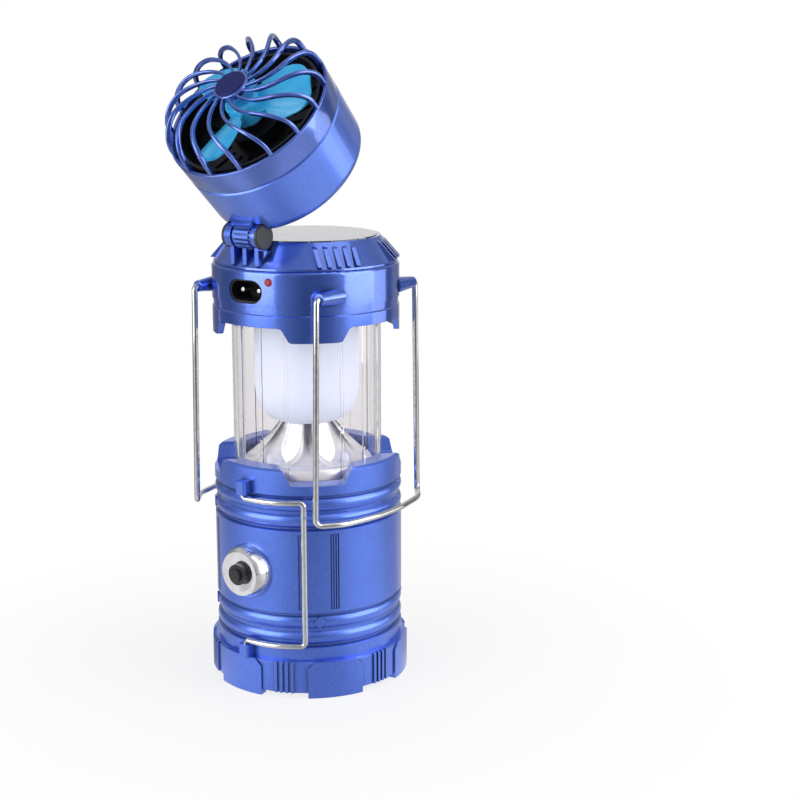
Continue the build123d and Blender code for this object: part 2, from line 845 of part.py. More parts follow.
# Cap skirt: a ring with a floor, a collar for the tube and four tabs that enter the rim's notches
cap_bore = cap_radius - cap_wall
tab_block = wedge(skirt_bottom - tab_drop, skirt_bottom, tab_half_width, tab_side_run, tab_corner, tab_blend,
                  cap_radius + cut_overrun)
with BuildPart() as skirt_tab:
    add(tab_block)
    with BuildSketch(Plane.XY.offset(skirt_bottom - tab_drop)):
        Circle(cap_radius)
        Circle(cap_bore, mode=Mode.SUBTRACT)
    extrude(amount=tab_drop + root_depth, mode=Mode.INTERSECT)
collar_bore = tube_radius + seat_gap
screw_circle = (collar_bore + skirt_collar_wall + cap_bore) / 2
with BuildPart() as cap_skirt:
    with BuildSketch(Plane.XZ):
        with BuildLine():
            Polyline(
                (floor_hole_radius, skirt_floor),
                (collar_bore, skirt_floor),
                (collar_bore, skirt_floor - skirt_collar_height),
                (collar_bore + skirt_collar_wall, skirt_floor - skirt_collar_height),
                (collar_bore + skirt_collar_wall, skirt_floor),
                (cap_bore, skirt_floor),
                (cap_bore, skirt_bottom),
                (cap_radius, skirt_bottom),
                (cap_radius, skirt_bottom + skirt_step_height),
                (cap_radius - skirt_step_depth, skirt_bottom + skirt_step_height + skirt_step_depth),
                (cap_radius - skirt_step_depth, skirt_top),
                (cap_bore, skirt_top),
                (cap_bore, skirt_floor_top),
                (floor_hole_radius, skirt_floor_top),
                close=True,
            )
        make_face()
    revolve(axis=Axis.Z)
    with PolarLocations(0, notch_count, start_angle=front_angle + notch_first_angle):
        add(skirt_tab.part)
    with BuildSketch(Plane.XY.offset(skirt_floor)):
        with PolarLocations(screw_circle, screw_count, start_angle=front_angle + screw_first_angle):
            Circle(screw_radius + seat_gap)
    extrude(amount=skirt_floor_thickness, mode=Mode.SUBTRACT)
cap_skirt.part.label = "cap_skirt"
export_step(cap_skirt.part, "parts/cap_skirt.step")

# Cap band: the ring that carries the bails, the charging socket and the screw bosses
bail_z = skirt_top + bail_level
inlet_z = skirt_top + inlet_level
charge_led_z = skirt_top + charge_led_level
charge_led_plane = Plane(
    origin=radial_plane(front_angle + charge_led_angle).from_local_coords((cap_radius, charge_led_z, 0)),
    x_dir=(0, 0, 1),
    z_dir=radial_plane(front_angle + charge_led_angle).x_dir,
)
with BuildPart() as cap_band:
    with BuildSketch(Plane.XY.offset(skirt_top)):
        Circle(cap_radius)
    extrude(amount=band_height)
    fillet(cap_band.edges().group_by(Axis.Z)[-1], band_edge)
    bail_root_radius = bail_lug_radius + bail_lug_length * tan(radians(bail_lug_taper_angle))
    for lug_plane in (Plane.XZ, -Plane.XZ):
        with BuildSketch(lug_plane.offset(bail_lug_tip - bail_lug_length)):
            with Locations((bail_reach, bail_z * lug_plane.y_dir.Z), (-bail_reach, bail_z * lug_plane.y_dir.Z)):
                Circle(bail_root_radius)
        extrude(amount=bail_lug_length, taper=bail_lug_taper_angle)
    with BuildSketch(Plane.XY.offset(skirt_top)):
        Circle(cap_bore)
    extrude(amount=band_height, mode=Mode.SUBTRACT)
    with BuildSketch(Plane.XY.offset(skirt_floor_top)):
        with PolarLocations(screw_circle, screw_count, start_angle=front_angle + screw_first_angle):
            Rectangle(screw_boss_size, screw_boss_size)
    extrude(amount=screw_boss_height)
    with BuildSketch(Plane.XY.offset(skirt_floor_top)):
        Circle(cap_radius)
        Circle(cap_bore - seat_gap, mode=Mode.SUBTRACT)
    extrude(amount=skirt_top - skirt_floor_top, mode=Mode.SUBTRACT)
    with BuildSketch(Plane.XY.offset(skirt_floor_top)):
        with PolarLocations(screw_circle, screw_count, start_angle=front_angle + screw_first_angle):
            Circle(screw_radius)
    extrude(amount=screw_length, mode=Mode.SUBTRACT)
    with BuildSketch(Plane.XZ.offset(bail_lug_tip - bail_pin_length)):
        with Locations((bail_reach, bail_z), (-bail_reach, bail_z)):
            Circle(wire_radius + running_gap)
    extrude(amount=cut_overrun, mode=Mode.SUBTRACT)
    with BuildSketch(Plane.XZ.offset(bail_pin_length - bail_lug_tip)):
        with Locations((bail_reach, bail_z), (-bail_reach, bail_z)):
            Circle(wire_radius + running_gap)
    extrude(amount=-cut_overrun, mode=Mode.SUBTRACT)
    with BuildSketch(Plane.XZ.offset(cap_bore - cut_overrun)):
        with Locations((0, inlet_z)):
            SlotOverall(inlet_width, inlet_height)
    extrude(amount=2 * cut_overrun, mode=Mode.SUBTRACT)
    with BuildSketch(charge_led_plane):
        Circle(charge_led_radius + seat_gap)
    extrude(amount=cut_overrun, both=True, mode=Mode.SUBTRACT)
cap_band.part.label = "cap_band"
export_step(cap_band.part, "parts/cap_band.step")

# Cap screws: driven up through the skirt's floor into the bosses
with BuildPart() as cap_screws:
    with BuildSketch(Plane.XY.offset(skirt_floor)):
        with PolarLocations(screw_circle, screw_count, start_angle=front_angle + screw_first_angle):
            Circle(screw_head_radius)
    extrude(amount=-screw_head_height)
    with BuildSketch(Plane.XY.offset(skirt_floor)):
        with PolarLocations(screw_circle, screw_count, start_angle=front_angle + screw_first_angle):
            Circle(screw_radius - seat_gap)
    extrude(amount=screw_length)
cap_screws.part.label = "cap_screws"
export_step(cap_screws.part, "parts/cap_screws.step")

# Charging socket: a stadium-shaped cup for a two-pin lead, and its pins
inlet_front = cap_radius - inlet_inset
inlet_floor = inlet_front - inlet_length + inlet_back
with BuildPart() as charge_inlet:
    with BuildSketch(Plane.XZ.offset(inlet_front)):
        with Locations((0, inlet_z)):
            SlotOverall(inlet_width - 2 * seat_gap, inlet_height - 2 * seat_gap)
    extrude(amount=-inlet_length)
    with BuildSketch(Plane.XZ.offset(inlet_floor)):
        with Locations((0, inlet_z)):
            SlotOverall(inlet_width - 2 * inlet_wall, inlet_height - 2 * inlet_wall)
    extrude(amount=inlet_length, mode=Mode.SUBTRACT)
charge_inlet.part.label = "charge_inlet"
export_step(charge_inlet.part, "parts/charge_inlet.step")

with BuildPart() as inlet_pins:
    with BuildSketch(Plane.XZ.offset(inlet_floor)):
        with Locations((-inlet_pin_pitch / 2, inlet_z), (inlet_pin_pitch / 2, inlet_z)):
            Circle(inlet_pin_radius)
    extrude(amount=inlet_pin_length)
    fillet(inlet_pins.edges().group_by(Axis.Y)[0], inlet_pin_radius / 2)
inlet_pins.part.label = "inlet_pins"
export_step(inlet_pins.part, "parts/inlet_pins.step")

# Charge lamp: a small domed lamp in the band
with BuildPart() as charge_led:
    with BuildSketch(charge_led_plane.offset(charge_led_proud)):
        Circle(charge_led_radius)
    extrude(amount=-charge_led_length)
    fillet(charge_led.faces().sort_by(Axis(charge_led_plane.origin, charge_led_plane.z_dir))[-1].edges(),
           charge_led_proud)
charge_led.part.label = "charge_led"
export_step(charge_led.part, "parts/charge_led.step")

# Circuit board on two short posts over the skirt's floor
circuit_y = circuit_depth / 2 + circuit_gap - inlet_front + inlet_length
with BuildPart() as control_board:
    with BuildSketch(Plane.XY.offset(skirt_floor_top + circuit_rise)):
        with Locations((0, circuit_y)):
            RectangleRounded(circuit_width, circuit_depth, circuit_post_radius)
    extrude(amount=circuit_thickness)
    with BuildSketch(Plane.XY.offset(skirt_floor_top)):
        with Locations((-circuit_post_pitch / 2, circuit_y), (circuit_post_pitch / 2, circuit_y)):
            Circle(circuit_post_radius)
    extrude(amount=circuit_rise)
control_board.part.label = "control_board"
export_step(control_board.part, "parts/control_board.step")

# Battery cradle and cell, lying across the cap
cell_y = circuit_y + circuit_depth / 2 + cell_gap + cell_radius + cradle_wall
cell_length = 2 * sqrt((cap_bore - cell_end_gap) ** 2 - (cell_y + cell_radius) ** 2)
cell_z = skirt_floor_top + cradle_floor + cell_radius + seat_gap
with BuildPart() as battery_holder:
    with BuildSketch(Plane.YZ):
        with Locations((cell_y, skirt_floor_top)):
            Rectangle(2 * (cell_radius + cradle_wall), cradle_floor + 2 * cell_radius * cradle_side_share,
                      align=(Align.CENTER, Align.MIN))
        with Locations((cell_y, cell_z)):
            Circle(cell_radius + seat_gap, mode=Mode.SUBTRACT)
    extrude(amount=cell_length / 2 - cell_radius, both=True)
battery_holder.part.label = "battery_holder"
export_step(battery_holder.part, "parts/battery_holder.step")

with BuildPart() as battery_cell:
    with BuildSketch(Plane.YZ.offset(-cell_length / 2)):
        with Locations((cell_y, cell_z)):
            Circle(cell_radius)
    extrude(amount=cell_length)
    fillet(battery_cell.edges(), cell_button_height / 2)
    with BuildSketch(Plane.YZ.offset(cell_length / 2)):
        with Locations((cell_y, cell_z)):
            Circle(cell_button_radius)
    extrude(amount=cell_button_height)
battery_cell.part.label = "battery_cell"
export_step(battery_cell.part, "parts/battery_cell.step")

# Top cover: a cone with groups of vent ribs, a recess for the solar panel and the hinge bracket
cover_radius = cap_radius - cover_base_step
cover_cone_low = band_top + cover_rise
cone_run = cover_radius - cover_top_radius
cone_rise = cover_top - cover_cone_low
recess_floor = cover_top + solar_proud - solar_thickness
spigot_radius = cap_bore - seat_gap
hinge_axis = Axis((0, -hinge_forward, hinge_z), (1, 0, 0))
with BuildPart() as vent_group:
    for rib in range(vent_rib_count):
        rib_shift = (rib - (vent_rib_count - 1) / 2) * vent_rib_step
        rib_sink = cover_radius - sqrt(cover_radius**2 - rib_shift**2)
        low_r = cover_radius - vent_low_share * cone_run - rib_sink
        low_z = cover_cone_low + vent_low_share * cone_rise
        high_r = cover_radius - vent_high_share * cone_run - rib_sink
        high_z = cover_cone_low + vent_high_share * cone_rise
        with BuildSketch(radial_plane(0).offset(rib_shift)):
            with BuildLine():
                Polyline(
                    (low_r - root_depth, low_z),
                    (low_r + vent_rib_height, low_z),
                    (high_r + vent_rib_height, high_z - vent_rib_height),
                    (high_r - root_depth, high_z),
                    close=True,
                )
            make_face()
        extrude(amount=vent_rib_width / 2, both=True)


def barrel(low, high, radius):
    """A cylinder on the hinge's axis, as a sketch plane and its length."""
    plane = Plane(origin=(low, -hinge_forward, hinge_z), x_dir=(0, 1, 0), z_dir=(1, 0, 0))
    with BuildPart() as piece:
        with BuildSketch(plane):
            Circle(radius)
        extrude(amount=high - low)
    return piece.part


left_knuckle = barrel(barrel_low, knuckle_low, barrel_radius)
right_knuckle = barrel(knuckle_high, barrel_high, barrel_radius)
hinge_bore = barrel(barrel_low - cut_overrun, barrel_high + cut_overrun, hinge_pin_radius)
knuckle_space = barrel(knuckle_low, knuckle_high, barrel_radius + slide_gap)
with BuildPart() as top_cover:
    with BuildSketch(Plane.XZ):
        with BuildLine():
            Polyline(
                (spigot_radius, band_top - cover_spigot),
                (spigot_radius, band_top),
                (cover_radius, band_top),
                (cover_radius, cover_cone_low),
                (cover_top_radius, cover_top),
                (solar_radius + seat_gap, cover_top),
                (solar_radius + seat_gap, recess_floor),
                (0, recess_floor),
                (0, recess_floor - cover_wall),
                (cover_top_radius - 2 * cover_wall, recess_floor - cover_wall),
                (spigot_radius - cover_wall, cover_cone_low),
                (spigot_radius - cover_wall, band_top - cover_spigot),
                close=True,
            )
        make_face()
    revolve(axis=Axis.Z)
    for group in range(vent_group_count):
        with PolarLocations(0, 1, start_angle=front_angle + vent_group_step_angle * (group + 1)):
            add(vent_group.part)
    post_low = cover_cone_low + cone_rise * vent_low_share
    for post_x in (knuckle_low - post_width, knuckle_high):
        with BuildSketch(Plane.XY.offset(post_low)):
            with Locations((post_x, -hinge_forward)):
                Rectangle(post_width, post_depth, align=(Align.MIN, Align.CENTER))
        extrude(amount=hinge_z - post_low)
    with BuildSketch(Plane.XY.offset(post_low)):
        with Locations((0, -hinge_forward)):
            Rectangle(post_width, post_depth)
    extrude(amount=hinge_z - post_low)
    with BuildSketch(Plane.XZ.offset(hinge_forward)):
        with BuildLine():
            Polyline(
                (barrel_high - root_depth, post_low),
                (barrel_high + gusset_width, hinge_z - barrel_radius - slide_gap),
                (barrel_high - root_depth, hinge_z - barrel_radius - slide_gap),
                close=True,
            )
        make_face()
    extrude(amount=post_width / 2, both=True)
    add(knuckle_space, mode=Mode.SUBTRACT)
    add(left_knuckle)
    add(right_knuckle)
    add(hinge_bore, mode=Mode.SUBTRACT)
top_cover.part.label = "top_cover"
export_step(top_cover.part, "parts/top_cover.step")

# Solar panel in the cover's recess
with BuildPart() as solar_panel:
    with BuildSketch(Plane.XY.offset(recess_floor)):
        Circle(solar_radius)
    extrude(amount=solar_thickness)
solar_panel.part.label = "solar_panel"
export_step(solar_panel.part, "parts/solar_panel.step")

# Hinge pin and the black caps over its ends
pin_rod = barrel(barrel_low, barrel_high, hinge_pin_radius - seat_gap)
with BuildPart() as hinge_pin:
    add(pin_rod)
hinge_pin.part.label = "hinge_pin"
export_step(hinge_pin.part, "parts/hinge_pin.step")

left_cap = barrel(barrel_low - hinge_cap_thickness, barrel_low, barrel_radius)
right_cap = barrel(barrel_high, barrel_high + hinge_cap_thickness, barrel_radius)
with BuildPart() as hinge_caps:
    add(left_cap)
    add(right_cap)
    fillet(hinge_caps.edges().group_by(Axis.X)[0], hinge_cap_edge)
    fillet(hinge_caps.edges().group_by(Axis.X)[-1], hinge_cap_edge)
hinge_caps.part.label = "hinge_caps"
export_step(hinge_caps.part, "parts/hinge_caps.step")

# Bails: wires that hang from the cap's lugs, with a bowed bar round the body
bail_leg = bail_lug_tip + running_gap + wire_bend
bail_low = bail_z - bail_drop
bail_inner = bail_lug_tip - bail_pin_length + slide_gap


def bail(side):
    """One bail, on the +X side for 1 and on the -X side for -1."""
    leg_x = side * bail_reach
    shoulder_x = side * (bail_reach + bail_shoulder_out)
    bow_x = side * (bail_reach + bail_bow)
    foot_y = bail_leg + bail_splay
    shoulder_y = foot_y - bail_shoulder_in
    with BuildPart() as piece:
        with BuildLine() as path:
            FilletPolyline(
                (leg_x, -bail_inner, bail_z),
                (leg_x, -bail_leg, bail_z),
                (leg_x, -foot_y, bail_low),
                (shoulder_x, -shoulder_y, bail_low),
                (bow_x, -bail_bow_flat, bail_low),
                (bow_x, bail_bow_flat, bail_low),
                (shoulder_x, shoulder_y, bail_low),
                (leg_x, foot_y, bail_low),
                (leg_x, bail_leg, bail_z),
                (leg_x, bail_inner, bail_z),
                radius=[wire_bend, bail_corner_bend, bail_shoulder_bend, bail_bow_bend,
                        bail_bow_bend, bail_shoulder_bend, bail_corner_bend, wire_bend],
            )
        with BuildSketch(Plane(origin=(leg_x, -bail_inner, bail_z), x_dir=(1, 0, 0), z_dir=(0, -1, 0))):
            Circle(wire_radius)
        sweep(path=path.wires()[0])
    return piece


bail_left = bail(-1)
bail_left.part.label = "bail_left"
export_step(bail_left.part, "parts/bail_left.step")
bail_right = bail(1)
bail_right.part.label = "bail_right"
export_step(bail_right.part, "parts/bail_right.step")

# The fan's own frame: its origin is the middle of its back, z runs out through the grille
closed_offset = Vector(0, hinge_forward, -hinge_rise)
fan_origin = Vector(0, -hinge_forward, hinge_z) + closed_offset.rotate(Axis.X, tilt_angle)
fan_direction = Vector(0, 0, 1).rotate(Axis.X, tilt_angle)
fan_plane = Plane(origin=fan_origin, x_dir=(1, 0, 0), z_dir=fan_direction)
fan_section = Plane(origin=fan_origin, x_dir=(1, 0, 0), z_dir=-fan_plane.y_dir)
fan_axis = Axis(fan_origin, fan_direction)

# Fan housing: a tapered shell with a shelf for the back cover and the ribbed hinge knuckle
taper = (fan_rim_radius - fan_back_radius) / fan_length
seam_radius = fan_back_radius + taper * fan_seam
shelf_low = back_cover_thickness + root_depth
shelf_bore = back_cover_radius - fan_shelf_width
space_radius = barrel_radius + slide_gap
left_space = barrel(barrel_low - hinge_cap_thickness - slide_gap, knuckle_low + slide_gap, space_radius)
right_space = barrel(knuckle_high - slide_gap, barrel_high + hinge_cap_thickness + slide_gap, space_radius)
knuckle_core = barrel_radius - knuckle_rib_height
fan_knuckle = barrel(knuckle_low + slide_gap, knuckle_high - slide_gap, knuckle_core)
pin_bore = barrel(knuckle_low - cut_overrun, knuckle_high + cut_overrun, hinge_pin_radius + running_gap)
with BuildPart() as fan_housing:
    with BuildSketch(fan_section):
        with BuildLine():
            back_round = JernArc((fan_back_radius - fan_back_round, 0), (1, 0), fan_back_round, 90)
            Polyline(
                back_round @ 1,
                (seam_radius, fan_seam - seam_groove),
                (seam_radius - seam_groove, fan_seam),
                (seam_radius - fan_wall, fan_seam),
                (seam_radius - fan_wall, fan_seam - spigot_length - slide_gap),
                (fan_back_radius - fan_wall, shelf_low + fan_shelf_thickness),
                (shelf_bore, shelf_low + fan_shelf_thickness),
                (shelf_bore, shelf_low),
                (back_cover_radius + seat_gap, shelf_low),
                (back_cover_radius + seat_gap, 0),
                back_round @ 0,
            )
        make_face()
    revolve(axis=fan_axis)
    add(left_space, mode=Mode.SUBTRACT)
    add(right_space, mode=Mode.SUBTRACT)
    with BuildSketch(fan_plane.offset(hinge_rise)):
        with Locations(((knuckle_low + knuckle_high) / 2, -hinge_forward)):
            Rectangle(knuckle_high - knuckle_low - 2 * slide_gap, arm_depth, align=(Align.CENTER, Align.MIN))
    extrude(amount=arm_rise)
    add(fan_knuckle)
    for rib in range(knuckle_rib_count):
        rib_angle = rib * 360 / knuckle_rib_count
        rib_direction = Vector(0, 1, 0).rotate(Axis.X, rib_angle)
        rib_plane = Plane(hinge_axis.position, x_dir=rib_direction, z_dir=(1, 0, 0))
        with BuildSketch(rib_plane.offset(knuckle_low + slide_gap + knuckle_rib_width)):
            with Locations((barrel_radius, 0)):
                Rectangle(knuckle_rib_height + root_depth, knuckle_rib_width, align=(Align.MAX, Align.CENTER))
        extrude(amount=knuckle_high - knuckle_low - 2 * slide_gap - 2 * knuckle_rib_width)
    add(pin_bore, mode=Mode.SUBTRACT)
fan_housing.part.label = "fan_housing"
export_step(fan_housing.part, "parts/fan_housing.step")

# Fan back cover: a disc with a ring of intake slots
with BuildPart() as fan_back_cover:
    with BuildSketch(fan_plane.offset(shelf_low)):
        Circle(back_cover_radius)
        intake_slot_outer = back_cover_radius - intake_slot_border
        with PolarLocations((intake_slot_inner + intake_slot_outer) / 2, intake_slot_count):
            SlotOverall(intake_slot_outer - intake_slot_inner, intake_slot_width, mode=Mode.SUBTRACT)
    extrude(amount=-back_cover_thickness)
fan_back_cover.part.label = "fan_back_cover"
export_step(fan_back_cover.part, "parts/fan_back_cover.step")

# Fan grille: a ring with a spigot, sixteen swirled ribs cut from a domed shell, and the hub
dome_radius = fan_rim_radius - grille_foot
crown = fan_length + crown_height
shoulder_level = crown - shoulder_radius
spigot_outer = seam_radius - fan_wall - seat_gap
rib_radii = (hub_radius - root_depth, (hub_radius + dome_radius) / 2, dome_radius)
rib_angles = (rib_end_angle - rib_swirl_angle, rib_end_angle - rib_swirl_angle / 2, rib_end_angle)
rib_widths = (rib_hub_width, rib_mid_width, rib_rim_width)
rib_sides = {}
for rib_side in (-1, 1):
    rib_sides[rib_side] = [
        (radius * cos(radians(angle)) - rib_side * width / 2 * sin(radians(angle)),
         radius * sin(radians(angle)) + rib_side * width / 2 * cos(radians(angle)))
        for radius, angle, width in zip(rib_radii, rib_angles, rib_widths)
    ]
leg_low = fan_length - rib_leg
with BuildPart() as rib_fins:
    with BuildSketch(fan_plane.offset(leg_low)):
        with BuildSketch(Plane.XY, mode=Mode.PRIVATE) as rib_strip:
            with BuildLine():
                ThreePointArc(*rib_sides[-1])
                ThreePointArc(*rib_sides[1])
                Line(rib_sides[-1][0], rib_sides[1][0])
                Line(rib_sides[-1][-1], rib_sides[1][-1])
            make_face()
        with PolarLocations(0, rib_count):
            add(rib_strip.faces())
    extrude(amount=crown - leg_low + root_depth)
    with BuildSketch(fan_section):
        with BuildLine():
            outer_round = JernArc((dome_radius, shoulder_level), (0, 1), shoulder_radius, 90)
            inner_round = JernArc((dome_radius - rib_thickness, shoulder_level), (0, 1),
                                  shoulder_radius - rib_thickness, 90)
            Polyline(outer_round @ 1, (0, crown), (0, crown - rib_thickness), inner_round @ 1)
            Polyline(
                outer_round @ 0,
                (dome_radius, leg_low),
                (dome_radius - rib_thickness, leg_low),
                inner_round @ 0,
            )
        make_face()
    revolve(axis=fan_axis, mode=Mode.INTERSECT)
with BuildPart() as fan_grille:
    with BuildSketch(fan_section):
        with BuildLine():
            Polyline(
                (seam_radius - seam_groove, fan_seam),
                (seam_radius, fan_seam + seam_groove),
                (fan_rim_radius, fan_length),
                (fan_rim_radius - grille_lip, fan_length),
                (seam_radius - fan_wall, fan_seam + fan_wall),
                (spigot_outer - spigot_wall, fan_seam - spigot_length),
                (spigot_outer, fan_seam - spigot_length),
                (spigot_outer, fan_seam),
                close=True,
            )
        make_face()
    revolve(axis=fan_axis)
    with BuildSketch(fan_plane.offset(crown - hub_thickness)):
        Circle(hub_radius)
    extrude(amount=hub_thickness)
    add(rib_fins.part)
fan_grille.part.label = "fan_grille"
export_step(fan_grille.part, "parts/fan_grille.step")

# Plain disc on the grille's hub
with BuildPart() as grille_hub_cap:
    with BuildSketch(fan_plane.offset(crown)):
        Circle(hub_cap_radius)
    extrude(amount=hub_cap_thickness)
    chamfer(grille_hub_cap.faces().sort_by(fan_axis)[-1].edges(), hub_cap_thickness / 2)
grille_hub_cap.part.label = "grille_hub_cap"
export_step(grille_hub_cap.part, "parts/grille_hub_cap.step")

# Motor mount: a black liner with a slotted plate and a cup over the front of the motor
mount_radius = spigot_outer - spigot_wall - seat_gap
mount_low = shelf_low + fan_shelf_thickness
mount_low_radius = fan_back_radius - fan_wall - seat_gap
liner_radius = min(mount_radius, mount_low_radius)
plate_top = mount_plate_level + mount_plate_thickness
cup_radius = motor_radius + seat_gap + mount_cup_wall
with BuildPart() as motor_mount:
    with BuildSketch(fan_plane.offset(mount_low)):
        Circle(liner_radius)
        Circle(liner_radius - mount_wall, mode=Mode.SUBTRACT)
    extrude(amount=mount_front - mount_low)
    with BuildSketch(fan_plane.offset(mount_plate_level)):
        Circle(liner_radius - mount_wall / 2)
        slot_inner = cup_radius + mount_slot_border
        slot_outer = liner_radius - mount_wall - mount_slot_border
        with PolarLocations((slot_inner + slot_outer) / 2, mount_slot_count):
            SlotOverall(slot_outer - slot_inner, mount_slot_width, mode=Mode.SUBTRACT)
    extrude(amount=mount_plate_thickness)
    with BuildSketch(fan_plane.offset(plate_top - mount_cup_depth)):
        Circle(cup_radius)
    extrude(amount=motor_front + mount_cup_wall - plate_top + mount_cup_depth)
    with BuildSketch(fan_plane.offset(mount_low)):
        Circle(motor_radius + seat_gap)
    extrude(amount=motor_front - mount_low, mode=Mode.SUBTRACT)
    with BuildSketch(fan_plane.offset(motor_front)):
        Circle(motor_boss_radius + seat_gap)
    extrude(amount=mount_cup_wall, mode=Mode.SUBTRACT)
motor_mount.part.label = "motor_mount"
export_step(motor_mount.part, "parts/motor_mount.step")

# Fan motor: a can with a front boss and a rear bearing bump, bored for the shaft
motor_back = motor_front - motor_length
with BuildPart() as fan_motor:
    with BuildSketch(fan_plane.offset(motor_back)):
        Circle(motor_radius)
    extrude(amount=motor_length)
    fillet(fan_motor.edges(), motor_tail_height / 2)
    with BuildSketch(fan_plane.offset(motor_front)):
        Circle(motor_boss_radius)
    extrude(amount=motor_boss_height)
    with BuildSketch(fan_plane.offset(motor_back)):
        Circle(motor_boss_radius)
    extrude(amount=-motor_tail_height)
    with BuildSketch(fan_plane.offset(motor_back)):
        Circle(shaft_radius + running_gap)
    extrude(amount=motor_length + motor_boss_height, mode=Mode.SUBTRACT)
fan_motor.part.label = "fan_motor"
export_step(fan_motor.part, "parts/fan_motor.step")

# Motor shaft
with BuildPart() as motor_shaft:
    with BuildSketch(fan_plane.offset(motor_back + running_gap)):
        Circle(shaft_radius)
    extrude(amount=shaft_front - motor_back - running_gap)
motor_shaft.part.label = "motor_shaft"
export_step(motor_shaft.part, "parts/motor_shaft.step")

# Fan blades: three twisted vanes on a round hub
hub_low = blade_level - blade_hub_length / 2
blade_tip_radius = liner_radius - mount_wall - blade_tip_gap
paddle_radius = blade_tip_radius * blade_paddle_share
with BuildPart() as blade_vane:
    for share, pitch in zip(blade_radius_shares, blade_pitch_angles):
        reach = fan_plane.from_local_coords((share * blade_tip_radius, 0, blade_level))
        chord_direction = fan_plane.y_dir * cos(radians(pitch)) + fan_plane.z_dir * sin(radians(pitch))
        with BuildSketch(Plane(origin=reach, x_dir=chord_direction, z_dir=fan_plane.x_dir)):
            with BuildLine():
                half_chord = blade_sheet_chord / 2
                ThreePointArc((-half_chord, 0), (0, blade_thickness), (half_chord, 0))
                ThreePointArc((half_chord, 0), (0, -blade_thickness / 4), (-half_chord, 0))
            make_face()
    loft()
    with BuildSketch(fan_plane.offset(blade_level - blade_sheet_chord / 2)):
        with Locations(((blade_tip_radius + paddle_radius) / 2, 0)):
            RectangleRounded(blade_tip_radius - paddle_radius, blade_paddle_width, blade_paddle_corner)
        Rectangle(blade_tip_radius / 2, blade_root_width, align=(Align.MIN, Align.CENTER))
    extrude(amount=blade_sheet_chord, mode=Mode.INTERSECT)
with BuildPart() as fan_blade:
    with BuildSketch(fan_plane.offset(hub_low)):
        Circle(blade_hub_radius)
    extrude(amount=blade_hub_length)
    fillet(fan_blade.faces().sort_by(fan_axis)[-1].edges(), blade_hub_edge)
    for blade in range(blade_count):
        blade_angle = blade_first_angle + blade * 360 / blade_count
        add(blade_vane.part.rotate(fan_axis, blade_angle))
    with BuildSketch(fan_plane.offset(hub_low)):
        Circle(shaft_radius + seat_gap)
    extrude(amount=shaft_front + seat_gap - hub_low, mode=Mode.SUBTRACT)
fan_blade.part.label = "fan_blade"
export_step(fan_blade.part, "parts/fan_blade.step")
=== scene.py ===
"""Studio picture of a camping lantern with a torch in its foot and a fan hinged to its cap."""
from math import cos, pi, radians, sin

import bmesh
import bpy
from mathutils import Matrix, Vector


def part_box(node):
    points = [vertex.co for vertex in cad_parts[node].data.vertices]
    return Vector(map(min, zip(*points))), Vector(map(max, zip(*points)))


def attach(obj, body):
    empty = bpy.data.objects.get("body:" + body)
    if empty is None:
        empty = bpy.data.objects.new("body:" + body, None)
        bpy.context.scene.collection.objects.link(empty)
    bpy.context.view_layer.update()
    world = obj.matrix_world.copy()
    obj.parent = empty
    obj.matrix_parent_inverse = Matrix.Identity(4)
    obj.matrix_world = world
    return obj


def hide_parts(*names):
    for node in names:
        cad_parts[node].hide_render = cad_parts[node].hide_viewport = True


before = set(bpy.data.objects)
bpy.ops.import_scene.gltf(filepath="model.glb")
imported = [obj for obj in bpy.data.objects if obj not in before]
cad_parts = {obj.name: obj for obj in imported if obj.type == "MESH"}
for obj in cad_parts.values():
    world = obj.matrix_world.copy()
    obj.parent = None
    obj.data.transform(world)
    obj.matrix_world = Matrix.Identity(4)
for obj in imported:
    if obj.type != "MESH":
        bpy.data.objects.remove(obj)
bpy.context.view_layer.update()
scene = bpy.context.scene
scene.view_settings.view_transform = "Standard"

# View: a camera at the height of the fan, to the right of the lantern's front, which looks down
# a little through the long lens that a studio packshot is taken with.
camera_data = bpy.data.cameras.new("packshot_camera")
camera_data.lens = 71.63
camera_data.sensor_width = 36.0
camera_data.clip_start = 0.01
camera = bpy.data.objects.new("packshot_camera", camera_data)
camera.location = (0.4297, -0.5230, 0.2683)
camera.rotation_euler = (radians(77.64), 0, radians(36))
scene.collection.objects.link(camera)
scene.camera = camera

# Studio: white surroundings with a few grey flags standing round the set, so that plated pieces find
# dark bands to mirror, and soft boxes that draw the upright highlights on the painted barrel.
surround = bpy.data.worlds.new("studio_surround")
surround.use_nodes = True
scene.world = surround
tree = surround.node_tree
white = tree.nodes["Background"]
white.inputs["Color"].default_value = (1, 1, 1, 1)
white.inputs["Strength"].default_value = 1.0


